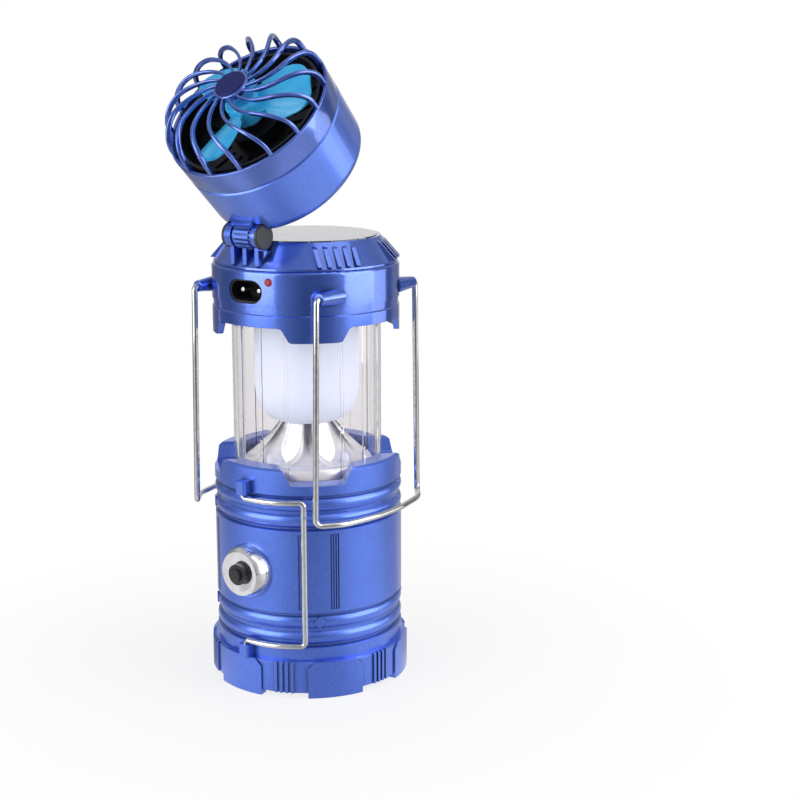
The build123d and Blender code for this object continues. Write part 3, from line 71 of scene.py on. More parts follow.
def standing_flags(tree, heading):
    """Tone of the flag or gap that stands in a direction, and the direction's height."""
    parts = tree.nodes.new("ShaderNodeSeparateXYZ")
    tree.links.new(heading, parts.inputs[0])
    turn = tree.nodes.new("ShaderNodeMath")
    turn.operation = "ARCTAN2"
    tree.links.new(parts.outputs["Y"], turn.inputs[0])
    tree.links.new(parts.outputs["X"], turn.inputs[1])
    round_share = tree.nodes.new("ShaderNodeMapRange")
    round_share.inputs["From Min"].default_value = -pi
    round_share.inputs["From Max"].default_value = pi
    tree.links.new(turn.outputs[0], round_share.inputs["Value"])
    flags = tree.nodes.new("ShaderNodeValToRGB")
    tones = flags.color_ramp.elements
    for stop, tone in (
        (0.0, 0.25), (0.03, 0.20), (0.07, 0.18), (0.105, 0.40), (0.14, 0.85), (0.20, 1.0),
        (0.255, 0.85), (0.30, 0.45), (0.345, 0.18), (0.40, 0.16), (0.44, 0.35), (0.48, 0.85),
        (0.54, 1.0), (0.60, 0.85), (0.635, 0.40), (0.67, 0.12), (0.70, 0.15), (0.735, 0.45),
        (0.77, 0.25), (0.81, 0.60), (0.835, 1.0), (0.885, 1.0), (0.91, 0.45), (0.95, 0.20),
        (1.0, 0.25),
    ):
        if stop == 0.0:
            flag = tones[0]
        elif stop == 1.0:
            flag = tones[len(tones) - 1]
        else:
            flag = tones.new(stop)
        flag.color = (tone * 0.98, tone * 0.985, tone, 1)
    tree.links.new(round_share.outputs[0], flags.inputs[0])
    return flags.outputs[0], parts.outputs["Z"]


def plain_view(tree):
    """Light Path node, and the share of plain white that straight and refracted rays see."""
    rays = tree.nodes.new("ShaderNodeLightPath")
    straight = tree.nodes.new("ShaderNodeMath")
    straight.operation = "MAXIMUM"
    tree.links.new(rays.outputs["Is Camera Ray"], straight.inputs[0])
    tree.links.new(rays.outputs["Is Transmission Ray"], straight.inputs[1])
    unmirrored = tree.nodes.new("ShaderNodeMapRange")
    unmirrored.inputs["To Min"].default_value = 1.0
    unmirrored.inputs["To Max"].default_value = 0.6
    tree.links.new(rays.outputs["Glossy Depth"], unmirrored.inputs["Value"])
    seen = tree.nodes.new("ShaderNodeMath")
    seen.operation = "MULTIPLY"
    tree.links.new(straight.outputs[0], seen.inputs[0])
    tree.links.new(unmirrored.outputs[0], seen.inputs[1])
    return rays, seen.outputs[0]


heading = tree.nodes.new("ShaderNodeTexCoord")
flag_tone, heading_height = standing_flags(tree, heading.outputs["Generated"])
lift = tree.nodes.new("ShaderNodeMapRange")
lift.inputs["From Min"].default_value = 0.15
lift.inputs["From Max"].default_value = 0.75
tree.links.new(heading_height, lift.inputs["Value"])
ceiling = tree.nodes.new("ShaderNodeMix")
ceiling.data_type = "RGBA"
ceiling.inputs["B"].default_value = (0.55, 0.56, 0.58, 1)
tree.links.new(lift.outputs[0], ceiling.inputs["Factor"])
tree.links.new(flag_tone, ceiling.inputs["A"])
room = tree.nodes.new("ShaderNodeBackground")
room.inputs["Strength"].default_value = 0.85
tree.links.new(ceiling.outputs["Result"], room.inputs["Color"])
seen = plain_view(tree)[1]
choice = tree.nodes.new("ShaderNodeMixShader")
tree.links.new(seen, choice.inputs[0])
tree.links.new(room.outputs[0], choice.inputs[1])
tree.links.new(white.outputs[0], choice.inputs[2])
tree.links.new(choice.outputs[0], tree.nodes["World Output"].inputs["Surface"])


def soft_box(name, place, target, width, height, watts):
    lamp = bpy.data.lights.new(name, "AREA")
    lamp.shape = "RECTANGLE"
    lamp.size = width
    lamp.size_y = height
    lamp.energy = watts
    holder = bpy.data.objects.new(name, lamp)
    holder.location = place
    holder.rotation_euler = (Vector(target) - Vector(place)).to_track_quat("-Z", "Y").to_euler()
    scene.collection.objects.link(holder)


soft_box("left_box", (-0.297, -0.913, 0.40), (0, 0, 0.14), 0.80, 0.9, 5.2)
soft_box("right_box", (0.908, 0.278, 0.40), (0, 0, 0.14), 0.80, 0.9, 5.2)
soft_box("low_card", (0.45, 0.50, 0.14), (0, 0, 0.22), 0.30, 0.25, 0.3)
soft_box("overhead", (0.6, 0.1, 1.1), (0, 0, 0.1), 0.7, 0.7, 1.3)

# Table: a sheet of white paper, lit so that only the shadow close to the lantern's foot is left on it.
table_mesh = bpy.data.meshes.new("table")
table_mesh.from_pydata([(-6, -6, 0), (6, -6, 0), (6, 6, 0), (-6, 6, 0)], [], [(0, 1, 2, 3)])
table = bpy.data.objects.new("table", table_mesh)
scene.collection.objects.link(table)
table_white = bpy.data.materials.new("table_white")
table_white.use_nodes = True
tree = table_white.node_tree
paper = tree.nodes["Principled BSDF"]
paper.inputs["Base Color"].default_value = (0.9, 0.9, 0.9, 1)
paper.inputs["Roughness"].default_value = 0.6
glow = tree.nodes.new("ShaderNodeEmission")
glow.inputs["Strength"].default_value = 1.0
place = tree.nodes.new("ShaderNodeTexCoord")
reach = tree.nodes.new("ShaderNodeVectorMath")
reach.operation = "LENGTH"
tree.links.new(place.outputs["Object"], reach.inputs[0])
fade = tree.nodes.new("ShaderNodeMapRange")
fade.inputs["From Min"].default_value = 0.05
fade.inputs["From Max"].default_value = 0.20
fade.inputs["To Min"].default_value = 0.80
fade.inputs["To Max"].default_value = 1.0
tree.links.new(reach.outputs["Value"], fade.inputs["Value"])
rays, seen = plain_view(tree)
share = tree.nodes.new("ShaderNodeMath")
share.operation = "MULTIPLY"
tree.links.new(seen, share.inputs[0])
tree.links.new(fade.outputs[0], share.inputs[1])
blend = tree.nodes.new("ShaderNodeMixShader")
tree.links.new(share.outputs[0], blend.inputs[0])
tree.links.new(paper.outputs[0], blend.inputs[1])
tree.links.new(glow.outputs[0], blend.inputs[2])
flag_tone = standing_flags(tree, place.outputs["Object"])[0]
nearness = tree.nodes.new("ShaderNodeMapRange")
nearness.inputs["From Min"].default_value = 0.70
nearness.inputs["From Max"].default_value = 0.20
nearness.inputs["To Max"].default_value = 0.5
tree.links.new(reach.outputs["Value"], nearness.inputs["Value"])
mirror_tone = tree.nodes.new("ShaderNodeMix")
mirror_tone.data_type = "RGBA"
mirror_tone.inputs["B"].default_value = (0.85, 0.855, 0.87, 1)
tree.links.new(nearness.outputs[0], mirror_tone.inputs["Factor"])
tree.links.new(flag_tone, mirror_tone.inputs["A"])
mirror_view = tree.nodes.new("ShaderNodeEmission")
mirror_level = tree.nodes.new("ShaderNodeMapRange")
mirror_level.inputs["From Min"].default_value = 0.20
mirror_level.inputs["From Max"].default_value = 0.70
mirror_level.inputs["To Min"].default_value = 0.9
mirror_level.inputs["To Max"].default_value = 0.7
tree.links.new(reach.outputs["Value"], mirror_level.inputs["Value"])
tree.links.new(mirror_level.outputs[0], mirror_view.inputs["Strength"])
tree.links.new(mirror_tone.outputs["Result"], mirror_view.inputs["Color"])
mirror_only = tree.nodes.new("ShaderNodeMath")
mirror_only.operation = "SUBTRACT"
mirror_only.use_clamp = True
tree.links.new(rays.outputs["Is Glossy Ray"], mirror_only.inputs[0])
tree.links.new(rays.outputs["Is Transmission Ray"], mirror_only.inputs[1])
mirrored = tree.nodes.new("ShaderNodeMixShader")
tree.links.new(mirror_only.outputs[0], mirrored.inputs[0])
tree.links.new(blend.outputs[0], mirrored.inputs[1])
tree.links.new(mirror_view.outputs[0], mirrored.inputs[2])
tree.links.new(mirrored.outputs[0], tree.nodes["Material Output"].inputs["Surface"])
table_mesh.materials.append(table_white)


# Painted mouldings: the torch bezel, the barrel, the cap's skirt, band and cover are plastic sprayed
# with a metallic blue, fine aluminium flake under a thin gloss, edges rounded by the mould. An occlusion
# term darkens the colour in creases and grooves as painted shade.
def metallic_blue(name, deep, bright, gloss, lacquer):
    finish = bpy.data.materials.new(name)
    finish.use_nodes = True
    tree = finish.node_tree
    shader = tree.nodes["Principled BSDF"]
    place = tree.nodes.new("ShaderNodeTexCoord")
    flake = tree.nodes.new("ShaderNodeTexVoronoi")
    flake.inputs["Scale"].default_value = 3800
    tree.links.new(place.outputs["Object"], flake.inputs["Vector"])
    cloud = tree.nodes.new("ShaderNodeTexNoise")
    cloud.inputs["Scale"].default_value = 90
    cloud.inputs["Detail"].default_value = 3
    tree.links.new(place.outputs["Object"], cloud.inputs["Vector"])
    grey = tree.nodes.new("ShaderNodeSeparateColor")
    tree.links.new(flake.outputs["Color"], grey.inputs[0])
    amount = tree.nodes.new("ShaderNodeMath")
    amount.operation = "MULTIPLY_ADD"
    amount.inputs[1].default_value = 0.7
    tree.links.new(grey.outputs[0], amount.inputs[0])
    drift = tree.nodes.new("ShaderNodeMath")
    drift.operation = "MULTIPLY"
    drift.inputs[1].default_value = 0.3
    tree.links.new(cloud.outputs["Fac"], drift.inputs[0])
    tree.links.new(drift.outputs[0], amount.inputs[2])
    tones = tree.nodes.new("ShaderNodeValToRGB")
    tones.color_ramp.elements[0].position = 0.1
    tones.color_ramp.elements[0].color = (*deep, 1)
    tones.color_ramp.elements[1].position = 0.9
    tones.color_ramp.elements[1].color = (*bright, 1)
    tree.links.new(amount.outputs[0], tones.inputs[0])
    # Painted shade: where occlusion finds creases and grooves, the base colour is pulled towards a near-black
    # blue.
    corner = tree.nodes.new("ShaderNodeAmbientOcclusion")
    corner.samples = 6
    corner.only_local = True
    corner.inputs["Distance"].default_value = 0.0022
    depth = tree.nodes.new("ShaderNodeMath")
    depth.operation = "POWER"
    depth.inputs[1].default_value = 1.5
    tree.links.new(corner.outputs["AO"], depth.inputs[0])
    crevice_shade = tree.nodes.new("ShaderNodeMix")
    crevice_shade.data_type = "RGBA"
    crevice_shade.inputs["A"].default_value = (*[0.12 * c for c in deep], 1)
    tree.links.new(depth.outputs[0], crevice_shade.inputs["Factor"])
    tree.links.new(tones.outputs[0], crevice_shade.inputs["B"])
    tree.links.new(crevice_shade.outputs["Result"], shader.inputs["Base Color"])
    sheen = tree.nodes.new("ShaderNodeMapRange")
    sheen.inputs["To Min"].default_value = gloss - 0.06
    sheen.inputs["To Max"].default_value = gloss + 0.06
    tree.links.new(cloud.outputs["Fac"], sheen.inputs["Value"])
    tree.links.new(sheen.outputs[0], shader.inputs["Roughness"])
    shader.inputs["Metallic"].default_value = 0.78
    shader.inputs["Coat Weight"].default_value = 0.8
    shader.inputs["Coat IOR"].default_value = lacquer
    shader.inputs["Coat Roughness"].default_value = 0.08
    rounded = tree.nodes.new("ShaderNodeBevel")
    rounded.samples = 4
    rounded.inputs["Radius"].default_value = 0.0003
    peel = tree.nodes.new("ShaderNodeBump")
    peel.inputs["Strength"].default_value = 0.05
    peel.inputs["Distance"].default_value = 0.0002
    tree.links.new(grey.outputs[1], peel.inputs["Height"])
    tree.links.new(rounded.outputs[0], peel.inputs["Normal"])
    tree.links.new(peel.outputs[0], shader.inputs["Normal"])
    return finish


def wear(finish, *names):
    for name in names:
        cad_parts[name].material_slots[0].material = finish


barrel_paint = metallic_blue("barrel_paint", (0.082, 0.176, 0.70), (0.126, 0.255, 0.96), 0.32, 1.5)
wear(barrel_paint, "bezel_ring", "base_body")
# The cap's copy of the paint is mixed darker than the barrel's, as painted shade for the cap under the fan
# head; its stronger lacquer and lower roughness give it a glossier finish.
cap_paint_shaded = metallic_blue("cap_paint_shaded", (0.045, 0.125, 0.60), (0.080, 0.200, 0.84), 0.17, 1.9)
wear(cap_paint_shaded, "cap_skirt", "cap_band", "top_cover")


# Torch end: a black gasket, a clear lens, a plated bowl and the emitter on its white board,
# dropped into the bezel from behind and held by the barrel's neck.
def plain_finish(name, colour, roughness, metallic=0.0, grain=900, depth=0.06, spread=0.06, vary=0.12):
    finish = bpy.data.materials.new(name)
    finish.use_nodes = True
    tree = finish.node_tree
    shader = tree.nodes["Principled BSDF"]
    place = tree.nodes.new("ShaderNodeTexCoord")
    speck = tree.nodes.new("ShaderNodeTexNoise")
    speck.inputs["Scale"].default_value = grain
    speck.inputs["Detail"].default_value = 4
    tree.links.new(place.outputs["Object"], speck.inputs["Vector"])
    tones = tree.nodes.new("ShaderNodeValToRGB")
    tones.color_ramp.elements[0].position = 0.3
    tones.color_ramp.elements[0].color = (*[(1 - vary) * c for c in colour], 1)
    tones.color_ramp.elements[1].position = 0.7
    tones.color_ramp.elements[1].color = (*[min(1.0, (1 + vary / 2) * c) for c in colour], 1)
    tree.links.new(speck.outputs["Fac"], tones.inputs[0])
    tree.links.new(tones.outputs[0], shader.inputs["Base Color"])
    gloss = tree.nodes.new("ShaderNodeMapRange")
    gloss.inputs["To Min"].default_value = max(0.02, roughness - spread)
    gloss.inputs["To Max"].default_value = roughness + spread
    tree.links.new(speck.outputs["Fac"], gloss.inputs["Value"])
    tree.links.new(gloss.outputs[0], shader.inputs["Roughness"])
    shader.inputs["Metallic"].default_value = metallic
    bump = tree.nodes.new("ShaderNodeBump")
    bump.inputs["Strength"].default_value = depth
    bump.inputs["Distance"].default_value = 0.0002
    tree.links.new(speck.outputs["Fac"], bump.inputs["Height"])
    tree.links.new(bump.outputs[0], shader.inputs["Normal"])
    return finish


def clear_finish(name, tint, roughness, bending):
    finish = bpy.data.materials.new(name)
    finish.use_nodes = True
    tree = finish.node_tree
    shader = tree.nodes["Principled BSDF"]
    shader.inputs["Base Color"].default_value = (*tint, 1)
    shader.inputs["Transmission Weight"].default_value = 1.0
    shader.inputs["IOR"].default_value = bending
    place = tree.nodes.new("ShaderNodeTexCoord")
    haze = tree.nodes.new("ShaderNodeTexNoise")
    haze.inputs["Scale"].default_value = 120
    tree.links.new(place.outputs["Object"], haze.inputs["Vector"])
    gloss = tree.nodes.new("ShaderNodeMapRange")
    gloss.inputs["To Min"].default_value = roughness * 0.5
    gloss.inputs["To Max"].default_value = roughness * 1.5
    tree.links.new(haze.outputs["Fac"], gloss.inputs["Value"])
    tree.links.new(gloss.outputs[0], shader.inputs["Roughness"])
    through = tree.nodes.new("ShaderNodeBsdfTransparent")
    through.inputs["Color"].default_value = (*tint, 1)
    rays = tree.nodes.new("ShaderNodeLightPath")
    blend = tree.nodes.new("ShaderNodeMixShader")
    tree.links.new(rays.outputs["Is Shadow Ray"], blend.inputs[0])
    tree.links.new(shader.outputs[0], blend.inputs[1])
    tree.links.new(through.outputs[0], blend.inputs[2])
    tree.links.new(blend.outputs[0], tree.nodes["Material Output"].inputs["Surface"])
    return finish


gasket_rubber = plain_finish("gasket_rubber", (0.02, 0.02, 0.021), 0.6)
wear(gasket_rubber, "lens_seal")
torch_glass = clear_finish("torch_glass", (0.97, 0.98, 0.99), 0.02, 1.46)
wear(torch_glass, "torch_lens")
bowl_plating = plain_finish("bowl_plating", (0.88, 0.88, 0.90), 0.05, metallic=1.0,
                            grain=60, depth=0.01, spread=0.02)
wear(bowl_plating, "torch_reflector")
board_white = plain_finish("board_white", (0.82, 0.82, 0.8), 0.5)
wear(board_white, "torch_led_board")
emitter_resin = plain_finish("emitter_resin", (0.9, 0.78, 0.28), 0.25)
wear(emitter_resin, "torch_led")


# Switch: a plated flared ring clamped through the barrel by a nut, with a black stepped button.
plated_ring = plain_finish("plated_ring", (0.92, 0.92, 0.94), 0.12, metallic=1.0,
                           grain=160, depth=0.03, spread=0.05)
wear(plated_ring, "switch_bezel")
nut_steel = plain_finish("nut_steel", (0.55, 0.55, 0.56), 0.35, metallic=1.0)
wear(nut_steel, "switch_nut")
button_black = plain_finish("button_black", (0.018, 0.018, 0.02), 0.38)
wear(button_black, "switch_button", "switch_body")


# Wire goods: the folding handle and the two bails are bright plated spring wire, bent cold.
wire_plating = plain_finish("wire_plating", (0.76, 0.755, 0.75), 0.07, metallic=1.0,
                            grain=400, depth=0.02, spread=0.04)
wear(wire_plating, "carry_handle", "bail_left", "bail_right")


# Lamp: a clear ribbed tube, and a frosted bulb that hangs in it from a white board of chips.
tube_clear = clear_finish("tube_clear", (0.88, 0.865, 0.88), 0.03, 1.30)
wear(tube_clear, "lens_tube")
bulb_frost = plain_finish("bulb_frost", (0.72, 0.77, 0.90), 0.45,
                          grain=60, depth=0.01, spread=0.03, vary=0.02)
bulb_shader = bulb_frost.node_tree.nodes["Principled BSDF"]
bulb_shader.inputs["Subsurface Weight"].default_value = 0.4
bulb_shader.inputs["Subsurface Radius"].default_value = (0.004, 0.004, 0.004)
# Painted glow: a faint bluish-white emission brightens the frosted bulb, though no lamp of the scene is
# inside it.
bulb_shader.inputs["Emission Color"].default_value = (0.84, 0.91, 1.0, 1)
bulb_shader.inputs["Emission Strength"].default_value = 0.16
wear(bulb_frost, "diffuser")
wear(board_white, "lamp_board")
wear(emitter_resin, "lamp_leds")


# Petal bell: a thin moulding plated like a mirror, whose six ridges flare into one round foot.
# It stands in the clear tube, under the bulb, and throws the lamp's light outwards. Its ridges carry a
# painted dark reflection, darkest near the top and fading towards the foot.
petal_count = 6
petal_turn = radians(-50.6)
petal_steps = 288
petal_rows = 36
bell_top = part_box("petal_reflector")[1][2]
bell_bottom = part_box("petal_reflector")[0][2]
apron_height = 0.0089
flange_thickness = 0.0014
bell_foot = bell_bottom + apron_height
flange_top = bell_bottom + flange_thickness
apron_radius = 0.0259
flange_radius = 0.0295
foot_bend_step = 10
crest_top = 0.0121
crest_flare = 0.0138
crest_power = 1.05
valley_top = 0.0108
valley_flare = 0.0077
valley_power = 1.1
ridge_waist_angle = 6.5
ridge_top_gain = 2.0
ridge_foot_gain = 17.0
ridge_foot_power = 5
edge_angle = 5.5
edge_top_gain = 1.5
least_ridge_shade = 0.30
most_ridge_shade = 0.9
ridge_shade_rate = 1.3
petal_pitch = 2 * pi / petal_count
bell_mesh = bpy.data.meshes.new("petal_bell")
bell_shape = bmesh.new()
bell_rings = []
ridge_shade_values = []
for row in range(petal_rows + 1):
    rise = 1 - row / petal_rows
    fall = 1 - rise
    crest_radius = crest_top + crest_flare * fall**crest_power
    valley_radius = valley_top + valley_flare * fall**valley_power
    foot_gain = ridge_foot_gain * fall**ridge_foot_power
    ridge_half = radians(ridge_waist_angle + ridge_top_gain * rise + foot_gain)
    ridge_soft = radians(edge_angle + edge_top_gain * rise)
    level = bell_foot + rise * (bell_top - bell_foot)
    # Strength of the painted dark reflection on the ridges in this row, greater towards the top of the bell.
    row_ridge_shade = min(most_ridge_shade, max(least_ridge_shade, ridge_shade_rate * rise))
    ring = []
    for step in range(petal_steps):
        angle = 2 * pi * step / petal_steps
        from_ridge = abs((angle - petal_turn + petal_pitch / 2) % petal_pitch - petal_pitch / 2)
        slope = min(1.0, max(0.0, (ridge_half + ridge_soft - from_ridge) / (2 * ridge_soft)))
        ridge = slope * slope * (3 - 2 * slope)
        radius = valley_radius + (crest_radius - valley_radius) * ridge
        ring.append(bell_shape.verts.new((radius * cos(angle), radius * sin(angle), level)))
        ridge_shade_values.append(ridge * row_ridge_shade)
    bell_rings.append(ring)
foot_profile = []
for bend in range(foot_bend_step, 90 + foot_bend_step, foot_bend_step):
    foot_profile.append((
        apron_radius + (flange_radius - apron_radius) * sin(radians(bend)),
        bell_foot - (bell_foot - flange_top) * (1 - cos(radians(bend))),
    ))
foot_profile.append((flange_radius, bell_bottom))
for radius, level in foot_profile:
    ring = []
    for step in range(petal_steps):
        angle = 2 * pi * step / petal_steps
        ring.append(bell_shape.verts.new((radius * cos(angle), radius * sin(angle), level)))
        ridge_shade_values.append(0.0)
    bell_rings.append(ring)
crown = bell_shape.verts.new((0, 0, bell_top))
base = bell_shape.verts.new((0, 0, bell_bottom))
ridge_shade_values += [1.0, 0.0]
for upper, lower in zip(bell_rings, bell_rings[1:]):
    for step in range(petal_steps):
        ahead = (step + 1) % petal_steps
        bell_shape.faces.new((upper[step], lower[step], lower[ahead], upper[ahead]))
for step in range(petal_steps):
    ahead = (step + 1) % petal_steps
    bell_shape.faces.new((crown, bell_rings[0][step], bell_rings[0][ahead]))
    bell_shape.faces.new((base, bell_rings[-1][ahead], bell_rings[-1][step]))
for face in bell_shape.faces:
    face.smooth = True
bell_shape.to_mesh(bell_mesh)
bell_shape.free()
bell_mesh.set_sharp_from_angle(angle=radians(50))
bell_mesh.attributes.new("ridge", "FLOAT", "POINT").data.foreach_set("value", ridge_shade_values)
petal_plating = plain_finish("petal_plating", (0.9, 0.9, 0.92), 0.26, metallic=0.72,
                             grain=70, depth=0.02, spread=0.04)
tree = petal_plating.node_tree
# Painted reflection: the ridge attribute turns the ridges dark grey, while the valleys stay near white.
ridge_shade_attribute = tree.nodes.new("ShaderNodeAttribute")
ridge_shade_attribute.attribute_name = "ridge"
ridge_painted_reflection = tree.nodes.new("ShaderNodeValToRGB")
ridge_painted_reflection.color_ramp.elements[0].position = 0.25
ridge_painted_reflection.color_ramp.elements[0].color = (0.97, 0.97, 0.98, 1)
ridge_painted_reflection.color_ramp.elements[1].position = 0.75
ridge_painted_reflection.color_ramp.elements[1].color = (0.15, 0.145, 0.165, 1)
tree.links.new(ridge_shade_attribute.outputs["Fac"], ridge_painted_reflection.inputs[0])
tree.links.new(ridge_painted_reflection.outputs[0], tree.nodes["Principled BSDF"].inputs["Base Color"])
bell_mesh.materials.append(petal_plating)
bell = bpy.data.objects.new("petal_bell", bell_mesh)
scene.collection.objects.link(bell)
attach(bell, "lantern_top")
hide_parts("petal_reflector")


# Cap fittings: the screws, the socket with its pins, the red charge lamp, the circuit board, the cell
# and its cradle.
wear(nut_steel, "cap_screws", "hinge_pin")
socket_black = plain_finish("socket_black", (0.010, 0.010, 0.012), 0.5)
wear(socket_black, "charge_inlet")
pin_steel = plain_finish("pin_steel", (0.75, 0.74, 0.72), 0.2, metallic=1.0)
wear(pin_steel, "inlet_pins")
lamp_red = plain_finish("lamp_red", (0.36, 0.012, 0.022), 0.15)
wear(lamp_red, "charge_led")
board_green = plain_finish("board_green", (0.015, 0.2, 0.07), 0.4)
wear(board_green, "control_board")
cell_wrap = plain_finish("cell_wrap", (0.08, 0.3, 0.22), 0.3)
wear(cell_wrap, "battery_cell")
wear(socket_black, "battery_holder")


# Solar panel: a round plate of dark cells under clear resin, with thin silvery lines between the cells.
solar_cells = bpy.data.materials.new("solar_cells")
solar_cells.use_nodes = True
tree = solar_cells.node_tree
shader = tree.nodes["Principled BSDF"]
place = tree.nodes.new("ShaderNodeTexCoord")
cells = tree.nodes.new("ShaderNodeTexBrick")
cells.offset = 0.0
cells.inputs["Color1"].default_value = (0.012, 0.016, 0.045, 1)
cells.inputs["Color2"].default_value = (0.018, 0.022, 0.06, 1)
cells.inputs["Mortar"].default_value = (0.42, 0.43, 0.45, 1)
cells.inputs["Scale"].default_value = 1.0
cells.inputs["Mortar Size"].default_value = 0.00022
cells.inputs["Mortar Smooth"].default_value = 0.2
cells.inputs["Brick Width"].default_value = 0.0305
cells.inputs["Row Height"].default_value = 0.0075
tree.links.new(place.outputs["Object"], cells.inputs["Vector"])
tree.links.new(cells.outputs["Color"], shader.inputs["Base Color"])
resin = tree.nodes.new("ShaderNodeTexNoise")
resin.inputs["Scale"].default_value = 140
tree.links.new(place.outputs["Object"], resin.inputs["Vector"])
gloss = tree.nodes.new("ShaderNodeMapRange")
gloss.inputs["To Min"].default_value = 0.10
gloss.inputs["To Max"].default_value = 0.24
tree.links.new(resin.outputs["Fac"], gloss.inputs["Value"])
tree.links.new(gloss.outputs[0], shader.inputs["Roughness"])
shader.inputs["IOR"].default_value = 1.6
shader.inputs["Coat Weight"].default_value = 1.0
wear(solar_cells, "solar_panel")


# Hinge: black caps close the ends of the steel pin.
hinge_black = plain_finish("hinge_black", (0.03, 0.031, 0.034), 0.42)
wear(hinge_black, "hinge_caps")


# Fan housing: a painted shell with a slotted back cover, a black slotted liner and the motor in its cup.
fan_paint = metallic_blue("fan_paint", (0.104, 0.215, 0.80), (0.156, 0.300, 1.0), 0.34, 1.5)
wear(fan_paint, "fan_housing", "fan_back_cover")
liner_black = plain_finish("liner_black", (0.004, 0.0045, 0.007), 0.5)
wear(liner_black, "motor_mount")
wear(nut_steel, "fan_motor", "motor_shaft")

# Fan rotor: three broad vanes and their hub, moulded in one piece from a clear sky blue.
blade_blue = plain_finish("blade_blue", (0.06, 0.56, 1.0), 0.18, grain=80)
blade_shader = blade_blue.node_tree.nodes["Principled BSDF"]
blade_shader.inputs["Subsurface Weight"].default_value = 0.3
blade_shader.inputs["Subsurface Radius"].default_value = (0.001, 0.003, 0.004)
wear(blade_blue, "fan_blade")

# Fan grille: a moulded ring and hub joined by sixteen ribs that swirl over a rounded shoulder,
# rounded on all edges by the mould, and painted like the housing, with its copy of the paint mixed darker as
# painted shade.
grille_paint_shaded = metallic_blue("grille_paint_shaded", (0.060, 0.130, 0.52), (0.096, 0.200, 0.76), 0.18, 1.9)
wear(grille_paint_shaded, "fan_grille")
fan_tilt = radians(44.9)
fan_place = (0, -0.0094579, 0.2194898)
seam_level = 0.0257
rim_level = 0.0369
crown_level = 0.0511
rim_radius = 0.0356
seam_radius = 0.035297
ring_wall = 0.0019
spigot_radius = 0.033347
hub_radius = 0.0076
hub_depth = 0.003
hub_low_round = 0.0006
hub_top_round = 0.0008
seam_groove = 0.0006
ring_lip = 0.0014
spigot_wall = 0.0012
spigot_length = 0.0026
rib_sink = 0.0022
rib_points = 56
rib_round_steps = 4
rib_round_share = 0.36


def turned(mesh_name, profile, steps):
    """A ring or disc turned from a closed profile of radius and height."""
    shape = bmesh.new()
    rows = []
    for step in range(steps):
        angle = 2 * pi * step / steps
        rows.append([shape.verts.new((r * cos(angle), r * sin(angle), z)) for r, z in profile])
    for step in range(steps):
        here = rows[step]
        there = rows[(step + 1) % steps]
        for k in range(len(profile)):
            following = (k + 1) % len(profile)
            shape.faces.new((here[k], there[k], there[following], here[following]))
    bmesh.ops.remove_doubles(shape, verts=shape.verts, dist=1e-7)
    bmesh.ops.dissolve_degenerate(shape, edges=shape.edges, dist=1e-7)
    bmesh.ops.recalc_face_normals(shape, faces=shape.faces)
    for face in shape.faces:
        face.smooth = True
    mesh = bpy.data.meshes.new(mesh_name)
    shape.to_mesh(mesh)
    shape.free()
    mesh.set_sharp_from_angle(angle=radians(40))
    return mesh


def soft_corner(corner, before, after, radius, count=4):
    """Points of a rounded corner between two straight runs of a profile."""
    here = Vector(corner)
    start = here + (Vector(before) - here).normalized() * radius
    end = here + (Vector(after) - here).normalized() * radius
    shares = [k / count for k in range(count + 1)]
    return [tuple(start.lerp(here, t).lerp(here.lerp(end, t), t)) for t in shares]


spigot_low = seam_level - spigot_length
ring_corners = [
    (seam_radius - seam_groove, seam_level),
    (seam_radius, seam_level + seam_groove),
    (rim_radius, rim_level),
    (rim_radius - ring_lip, rim_level),
    (seam_radius - ring_wall, seam_level + ring_wall),
    (spigot_radius - spigot_wall, spigot_low),
    (spigot_radius, spigot_low),
    (spigot_radius, seam_level),
]
ring_softness = [0.0001, 0.0003, 0.0005, 0.0005, 0.0003, 0.0002, 0.0002, 0.0001]
ring_profile = []
for k, softness in enumerate(ring_softness):
    following = ring_corners[(k + 1) % len(ring_corners)]
    ring_profile += soft_corner(ring_corners[k], ring_corners[k - 1], following, softness)
hub_low = crown_level - hub_depth
hub_corners = [(0, hub_low), (hub_radius, hub_low), (hub_radius, crown_level), (0, crown_level)]
hub_profile = [hub_corners[0]] + soft_corner(hub_corners[1], hub_corners[0], hub_corners[2], hub_low_round)
hub_profile += soft_corner(hub_corners[2], hub_corners[1], hub_corners[3], hub_top_round) + [hub_corners[3]]
ring_mesh = turned("grille_ring", ring_profile, 160)
hub_mesh = turned("grille_hub", hub_profile, 64)
grille_shape = bmesh.new()
grille_shape.from_mesh(ring_mesh)
grille_shape.from_mesh(hub_mesh)
grille_base = bpy.data.meshes.new("grille_base")
grille_shape.to_mesh(grille_base)
grille_shape.free()
bpy.data.meshes.remove(ring_mesh)
bpy.data.meshes.remove(hub_mesh)

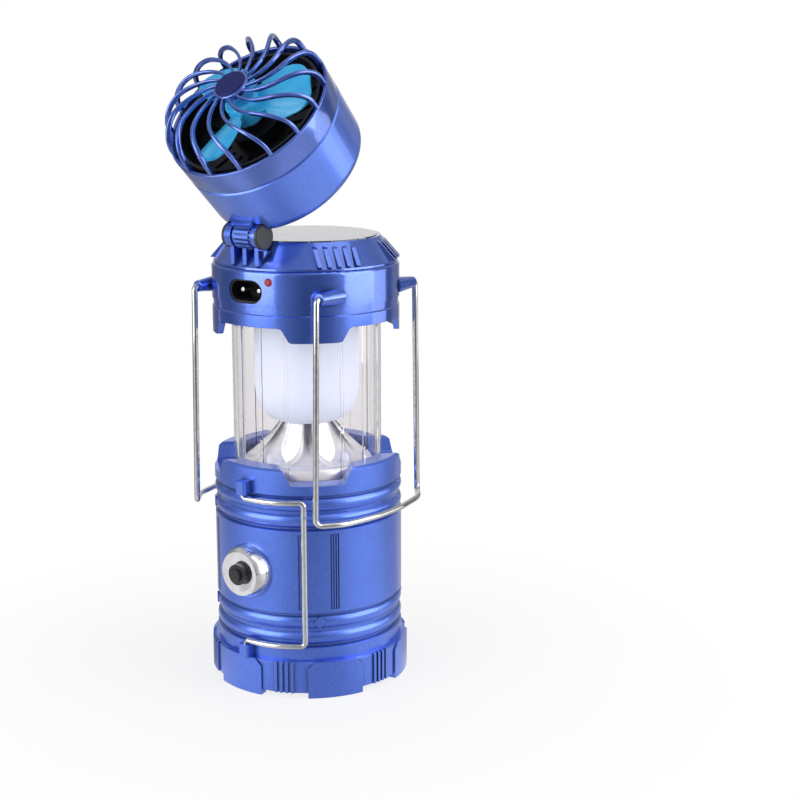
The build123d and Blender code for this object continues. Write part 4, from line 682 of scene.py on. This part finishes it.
rib_rule = bpy.data.node_groups.new("swirled_ribs", "GeometryNodeTree")
rib_rule.interface.new_socket("Geometry", in_out="INPUT", socket_type="NodeSocketGeometry")
rib_inputs = {}
for label, kind, value in (
    ("Rib Count", "NodeSocketInt", 16),
    ("Hub Radius", "NodeSocketFloat", 0.0070),
    ("Dome Radius", "NodeSocketFloat", 0.0350),
    ("Shoulder", "NodeSocketFloat", 0.0121),
    ("Crown", "NodeSocketFloat", crown_level),
    ("Foot Level", "NodeSocketFloat", rim_level - rib_sink),
    ("Swirl", "NodeSocketFloat", radians(46.0)),
    ("End Angle", "NodeSocketFloat", radians(3.5)),
    ("Width", "NodeSocketFloat", 0.0026),
    ("Thickness", "NodeSocketFloat", 0.0019),
    ("Hub Share", "NodeSocketFloat", 0.54),
    ("Tilt", "NodeSocketFloat", fan_tilt),
    ("Paint", "NodeSocketMaterial", grille_paint_shaded),
):
    socket = rib_rule.interface.new_socket(label, in_out="INPUT", socket_type=kind)
    rib_inputs[socket.identifier] = value
rib_rule.interface.new_socket("Geometry", in_out="OUTPUT", socket_type="NodeSocketGeometry")
nodes = rib_rule.nodes
links = rib_rule.links
given = nodes.new("NodeGroupInput")
result = nodes.new("NodeGroupOutput")


def calc(operation, *terms):
    """One arithmetic node over sockets or plain numbers."""
    node = nodes.new("ShaderNodeMath")
    node.operation = operation
    for k, term in enumerate(terms):
        if isinstance(term, (int, float)):
            node.inputs[k].default_value = term
        else:
            links.new(term, node.inputs[k])
    return node.outputs[0]


def combine(x, y, z):
    """A vector from three sockets."""
    node = nodes.new("ShaderNodeCombineXYZ")
    for k, term in enumerate((x, y, z)):
        links.new(term, node.inputs[k])
    return node.outputs[0]


half_thick = calc("MULTIPLY", given.outputs["Thickness"], 0.5)
bend = calc("SUBTRACT", given.outputs["Shoulder"], half_thick)
flat_end = calc("SUBTRACT", given.outputs["Dome Radius"], given.outputs["Shoulder"])
flat_run = calc("SUBTRACT", flat_end, given.outputs["Hub Radius"])
bend_run = calc("MULTIPLY", bend, pi / 2)
top_level = calc("SUBTRACT", given.outputs["Crown"], half_thick)
leg_run = calc("SUBTRACT", calc("SUBTRACT", top_level, bend), given.outputs["Foot Level"])
whole_run = calc("ADD", calc("ADD", flat_run, bend_run), leg_run)
line = nodes.new("GeometryNodeCurvePrimitiveLine")
line.inputs["End"].default_value = (0.05, 0, 0)
points = nodes.new("GeometryNodeResampleCurve")
points.inputs["Count"].default_value = rib_points
links.new(line.outputs[0], points.inputs["Curve"])
along = nodes.new("GeometryNodeSplineParameter")
run = calc("MULTIPLY", along.outputs["Factor"], whole_run)
on_flat = calc("MINIMUM", run, flat_run)
past_flat = calc("DIVIDE", calc("SUBTRACT", run, flat_run), bend)
bend_angle = calc("MINIMUM", calc("MAXIMUM", past_flat, 0.0), pi / 2)
on_leg = calc("MAXIMUM", calc("SUBTRACT", calc("SUBTRACT", run, flat_run), bend_run), 0.0)
flat_reach = calc("ADD", given.outputs["Hub Radius"], on_flat)
radius = calc("ADD", flat_reach, calc("MULTIPLY", bend, calc("SINE", bend_angle)))
fall = calc("MULTIPLY", bend, calc("SUBTRACT", 1.0, calc("COSINE", bend_angle)))
height = calc("SUBTRACT", calc("SUBTRACT", top_level, fall), on_leg)
outer = calc("SUBTRACT", given.outputs["Dome Radius"], half_thick)
inward = calc("DIVIDE", calc("SUBTRACT", outer, radius), calc("SUBTRACT", outer, given.outputs["Hub Radius"]))
turning = calc("SUBTRACT", given.outputs["End Angle"], calc("MULTIPLY", given.outputs["Swirl"], inward))
turn_cos = calc("COSINE", turning)
turn_sin = calc("SINE", turning)
moved = nodes.new("GeometryNodeSetPosition")
links.new(points.outputs[0], moved.inputs["Geometry"])
rib_x = calc("MULTIPLY", radius, turn_cos)
rib_y = calc("MULTIPLY", radius, turn_sin)
links.new(combine(rib_x, rib_y, height), moved.inputs["Position"])
lean = calc("SINE", bend_angle)
upright = nodes.new("GeometryNodeSetCurveNormal")
upright.mode = "FREE"
links.new(moved.outputs[0], upright.inputs["Curve"])
lean_x = calc("MULTIPLY", lean, turn_cos)
lean_y = calc("MULTIPLY", lean, turn_sin)
links.new(combine(lean_x, lean_y, calc("COSINE", bend_angle)), upright.inputs["Normal"])
section = nodes.new("GeometryNodeCurvePrimitiveQuadrilateral")
links.new(given.outputs["Width"], section.inputs["Width"])
links.new(given.outputs["Thickness"], section.inputs["Height"])
softened = nodes.new("GeometryNodeFilletCurve")
softened.mode = "POLY"
softened.inputs["Count"].default_value = rib_round_steps
links.new(section.outputs[0], softened.inputs["Curve"])
links.new(calc("MULTIPLY", given.outputs["Thickness"], rib_round_share), softened.inputs["Radius"])
taper = calc("ADD", given.outputs["Hub Share"],
             calc("MULTIPLY", calc("SUBTRACT", 1.0, given.outputs["Hub Share"]), along.outputs["Factor"]))
rib = nodes.new("GeometryNodeCurveToMesh")
rib.inputs["Fill Caps"].default_value = True
links.new(upright.outputs[0], rib.inputs["Curve"])
links.new(softened.outputs[0], rib.inputs["Profile Curve"])
links.new(taper, rib.inputs["Scale"])
smooth = nodes.new("GeometryNodeSetShadeSmooth")
links.new(rib.outputs[0], smooth.inputs["Geometry"])
spots = nodes.new("GeometryNodePoints")
links.new(given.outputs["Rib Count"], spots.inputs["Count"])
number = nodes.new("GeometryNodeInputIndex")
step = calc("DIVIDE", 2 * pi, given.outputs["Rib Count"])
facing = nodes.new("ShaderNodeCombineXYZ")
links.new(calc("MULTIPLY", number.outputs[0], step), facing.inputs["Z"])
spin = nodes.new("FunctionNodeEulerToRotation")
links.new(facing.outputs[0], spin.inputs[0])
copies = nodes.new("GeometryNodeInstanceOnPoints")
links.new(spots.outputs[0], copies.inputs["Points"])
links.new(smooth.outputs[0], copies.inputs["Instance"])
links.new(spin.outputs[0], copies.inputs["Rotation"])
joined = nodes.new("GeometryNodeJoinGeometry")
links.new(given.outputs["Geometry"], joined.inputs[0])
links.new(copies.outputs[0], joined.inputs[0])
tilting = nodes.new("ShaderNodeCombineXYZ")
links.new(given.outputs["Tilt"], tilting.inputs["X"])
tilt = nodes.new("FunctionNodeEulerToRotation")
links.new(tilting.outputs[0], tilt.inputs[0])
placed = nodes.new("GeometryNodeTransform")
placed.inputs["Translation"].default_value = fan_place
links.new(joined.outputs[0], placed.inputs["Geometry"])
links.new(tilt.outputs[0], placed.inputs["Rotation"])
real = nodes.new("GeometryNodeRealizeInstances")
links.new(placed.outputs[0], real.inputs["Geometry"])
coated = nodes.new("GeometryNodeSetMaterial")
links.new(real.outputs[0], coated.inputs["Geometry"])
links.new(given.outputs["Paint"], coated.inputs["Material"])
links.new(coated.outputs[0], result.inputs[0])

grille_rule = bpy.data.objects.new("grille_rule", grille_base)
scene.collection.objects.link(grille_rule)
rule = grille_rule.modifiers.new("swirled_ribs", "NODES")
rule.node_group = rib_rule
for identifier, value in rib_inputs.items():
    rule[identifier] = value
worked_out = grille_rule.evaluated_get(bpy.context.evaluated_depsgraph_get())
grille_mesh = bpy.data.meshes.new_from_object(worked_out)
grille_rule.modifiers.remove(rule)
bpy.data.objects.remove(grille_rule)
grille = bpy.data.objects.new("grille_moulding", grille_mesh)
scene.collection.objects.link(grille)
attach(grille, "fan_head")
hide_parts("fan_grille")

# Hub disc: a plain dark disc glued to the middle of the grille.
hub_navy = plain_finish("hub_navy", (0.008, 0.015, 0.12), 0.45)
hub_navy.node_tree.nodes["Principled BSDF"].inputs["Specular IOR Level"].default_value = 0.25
wear(hub_navy, "grille_hub_cap")
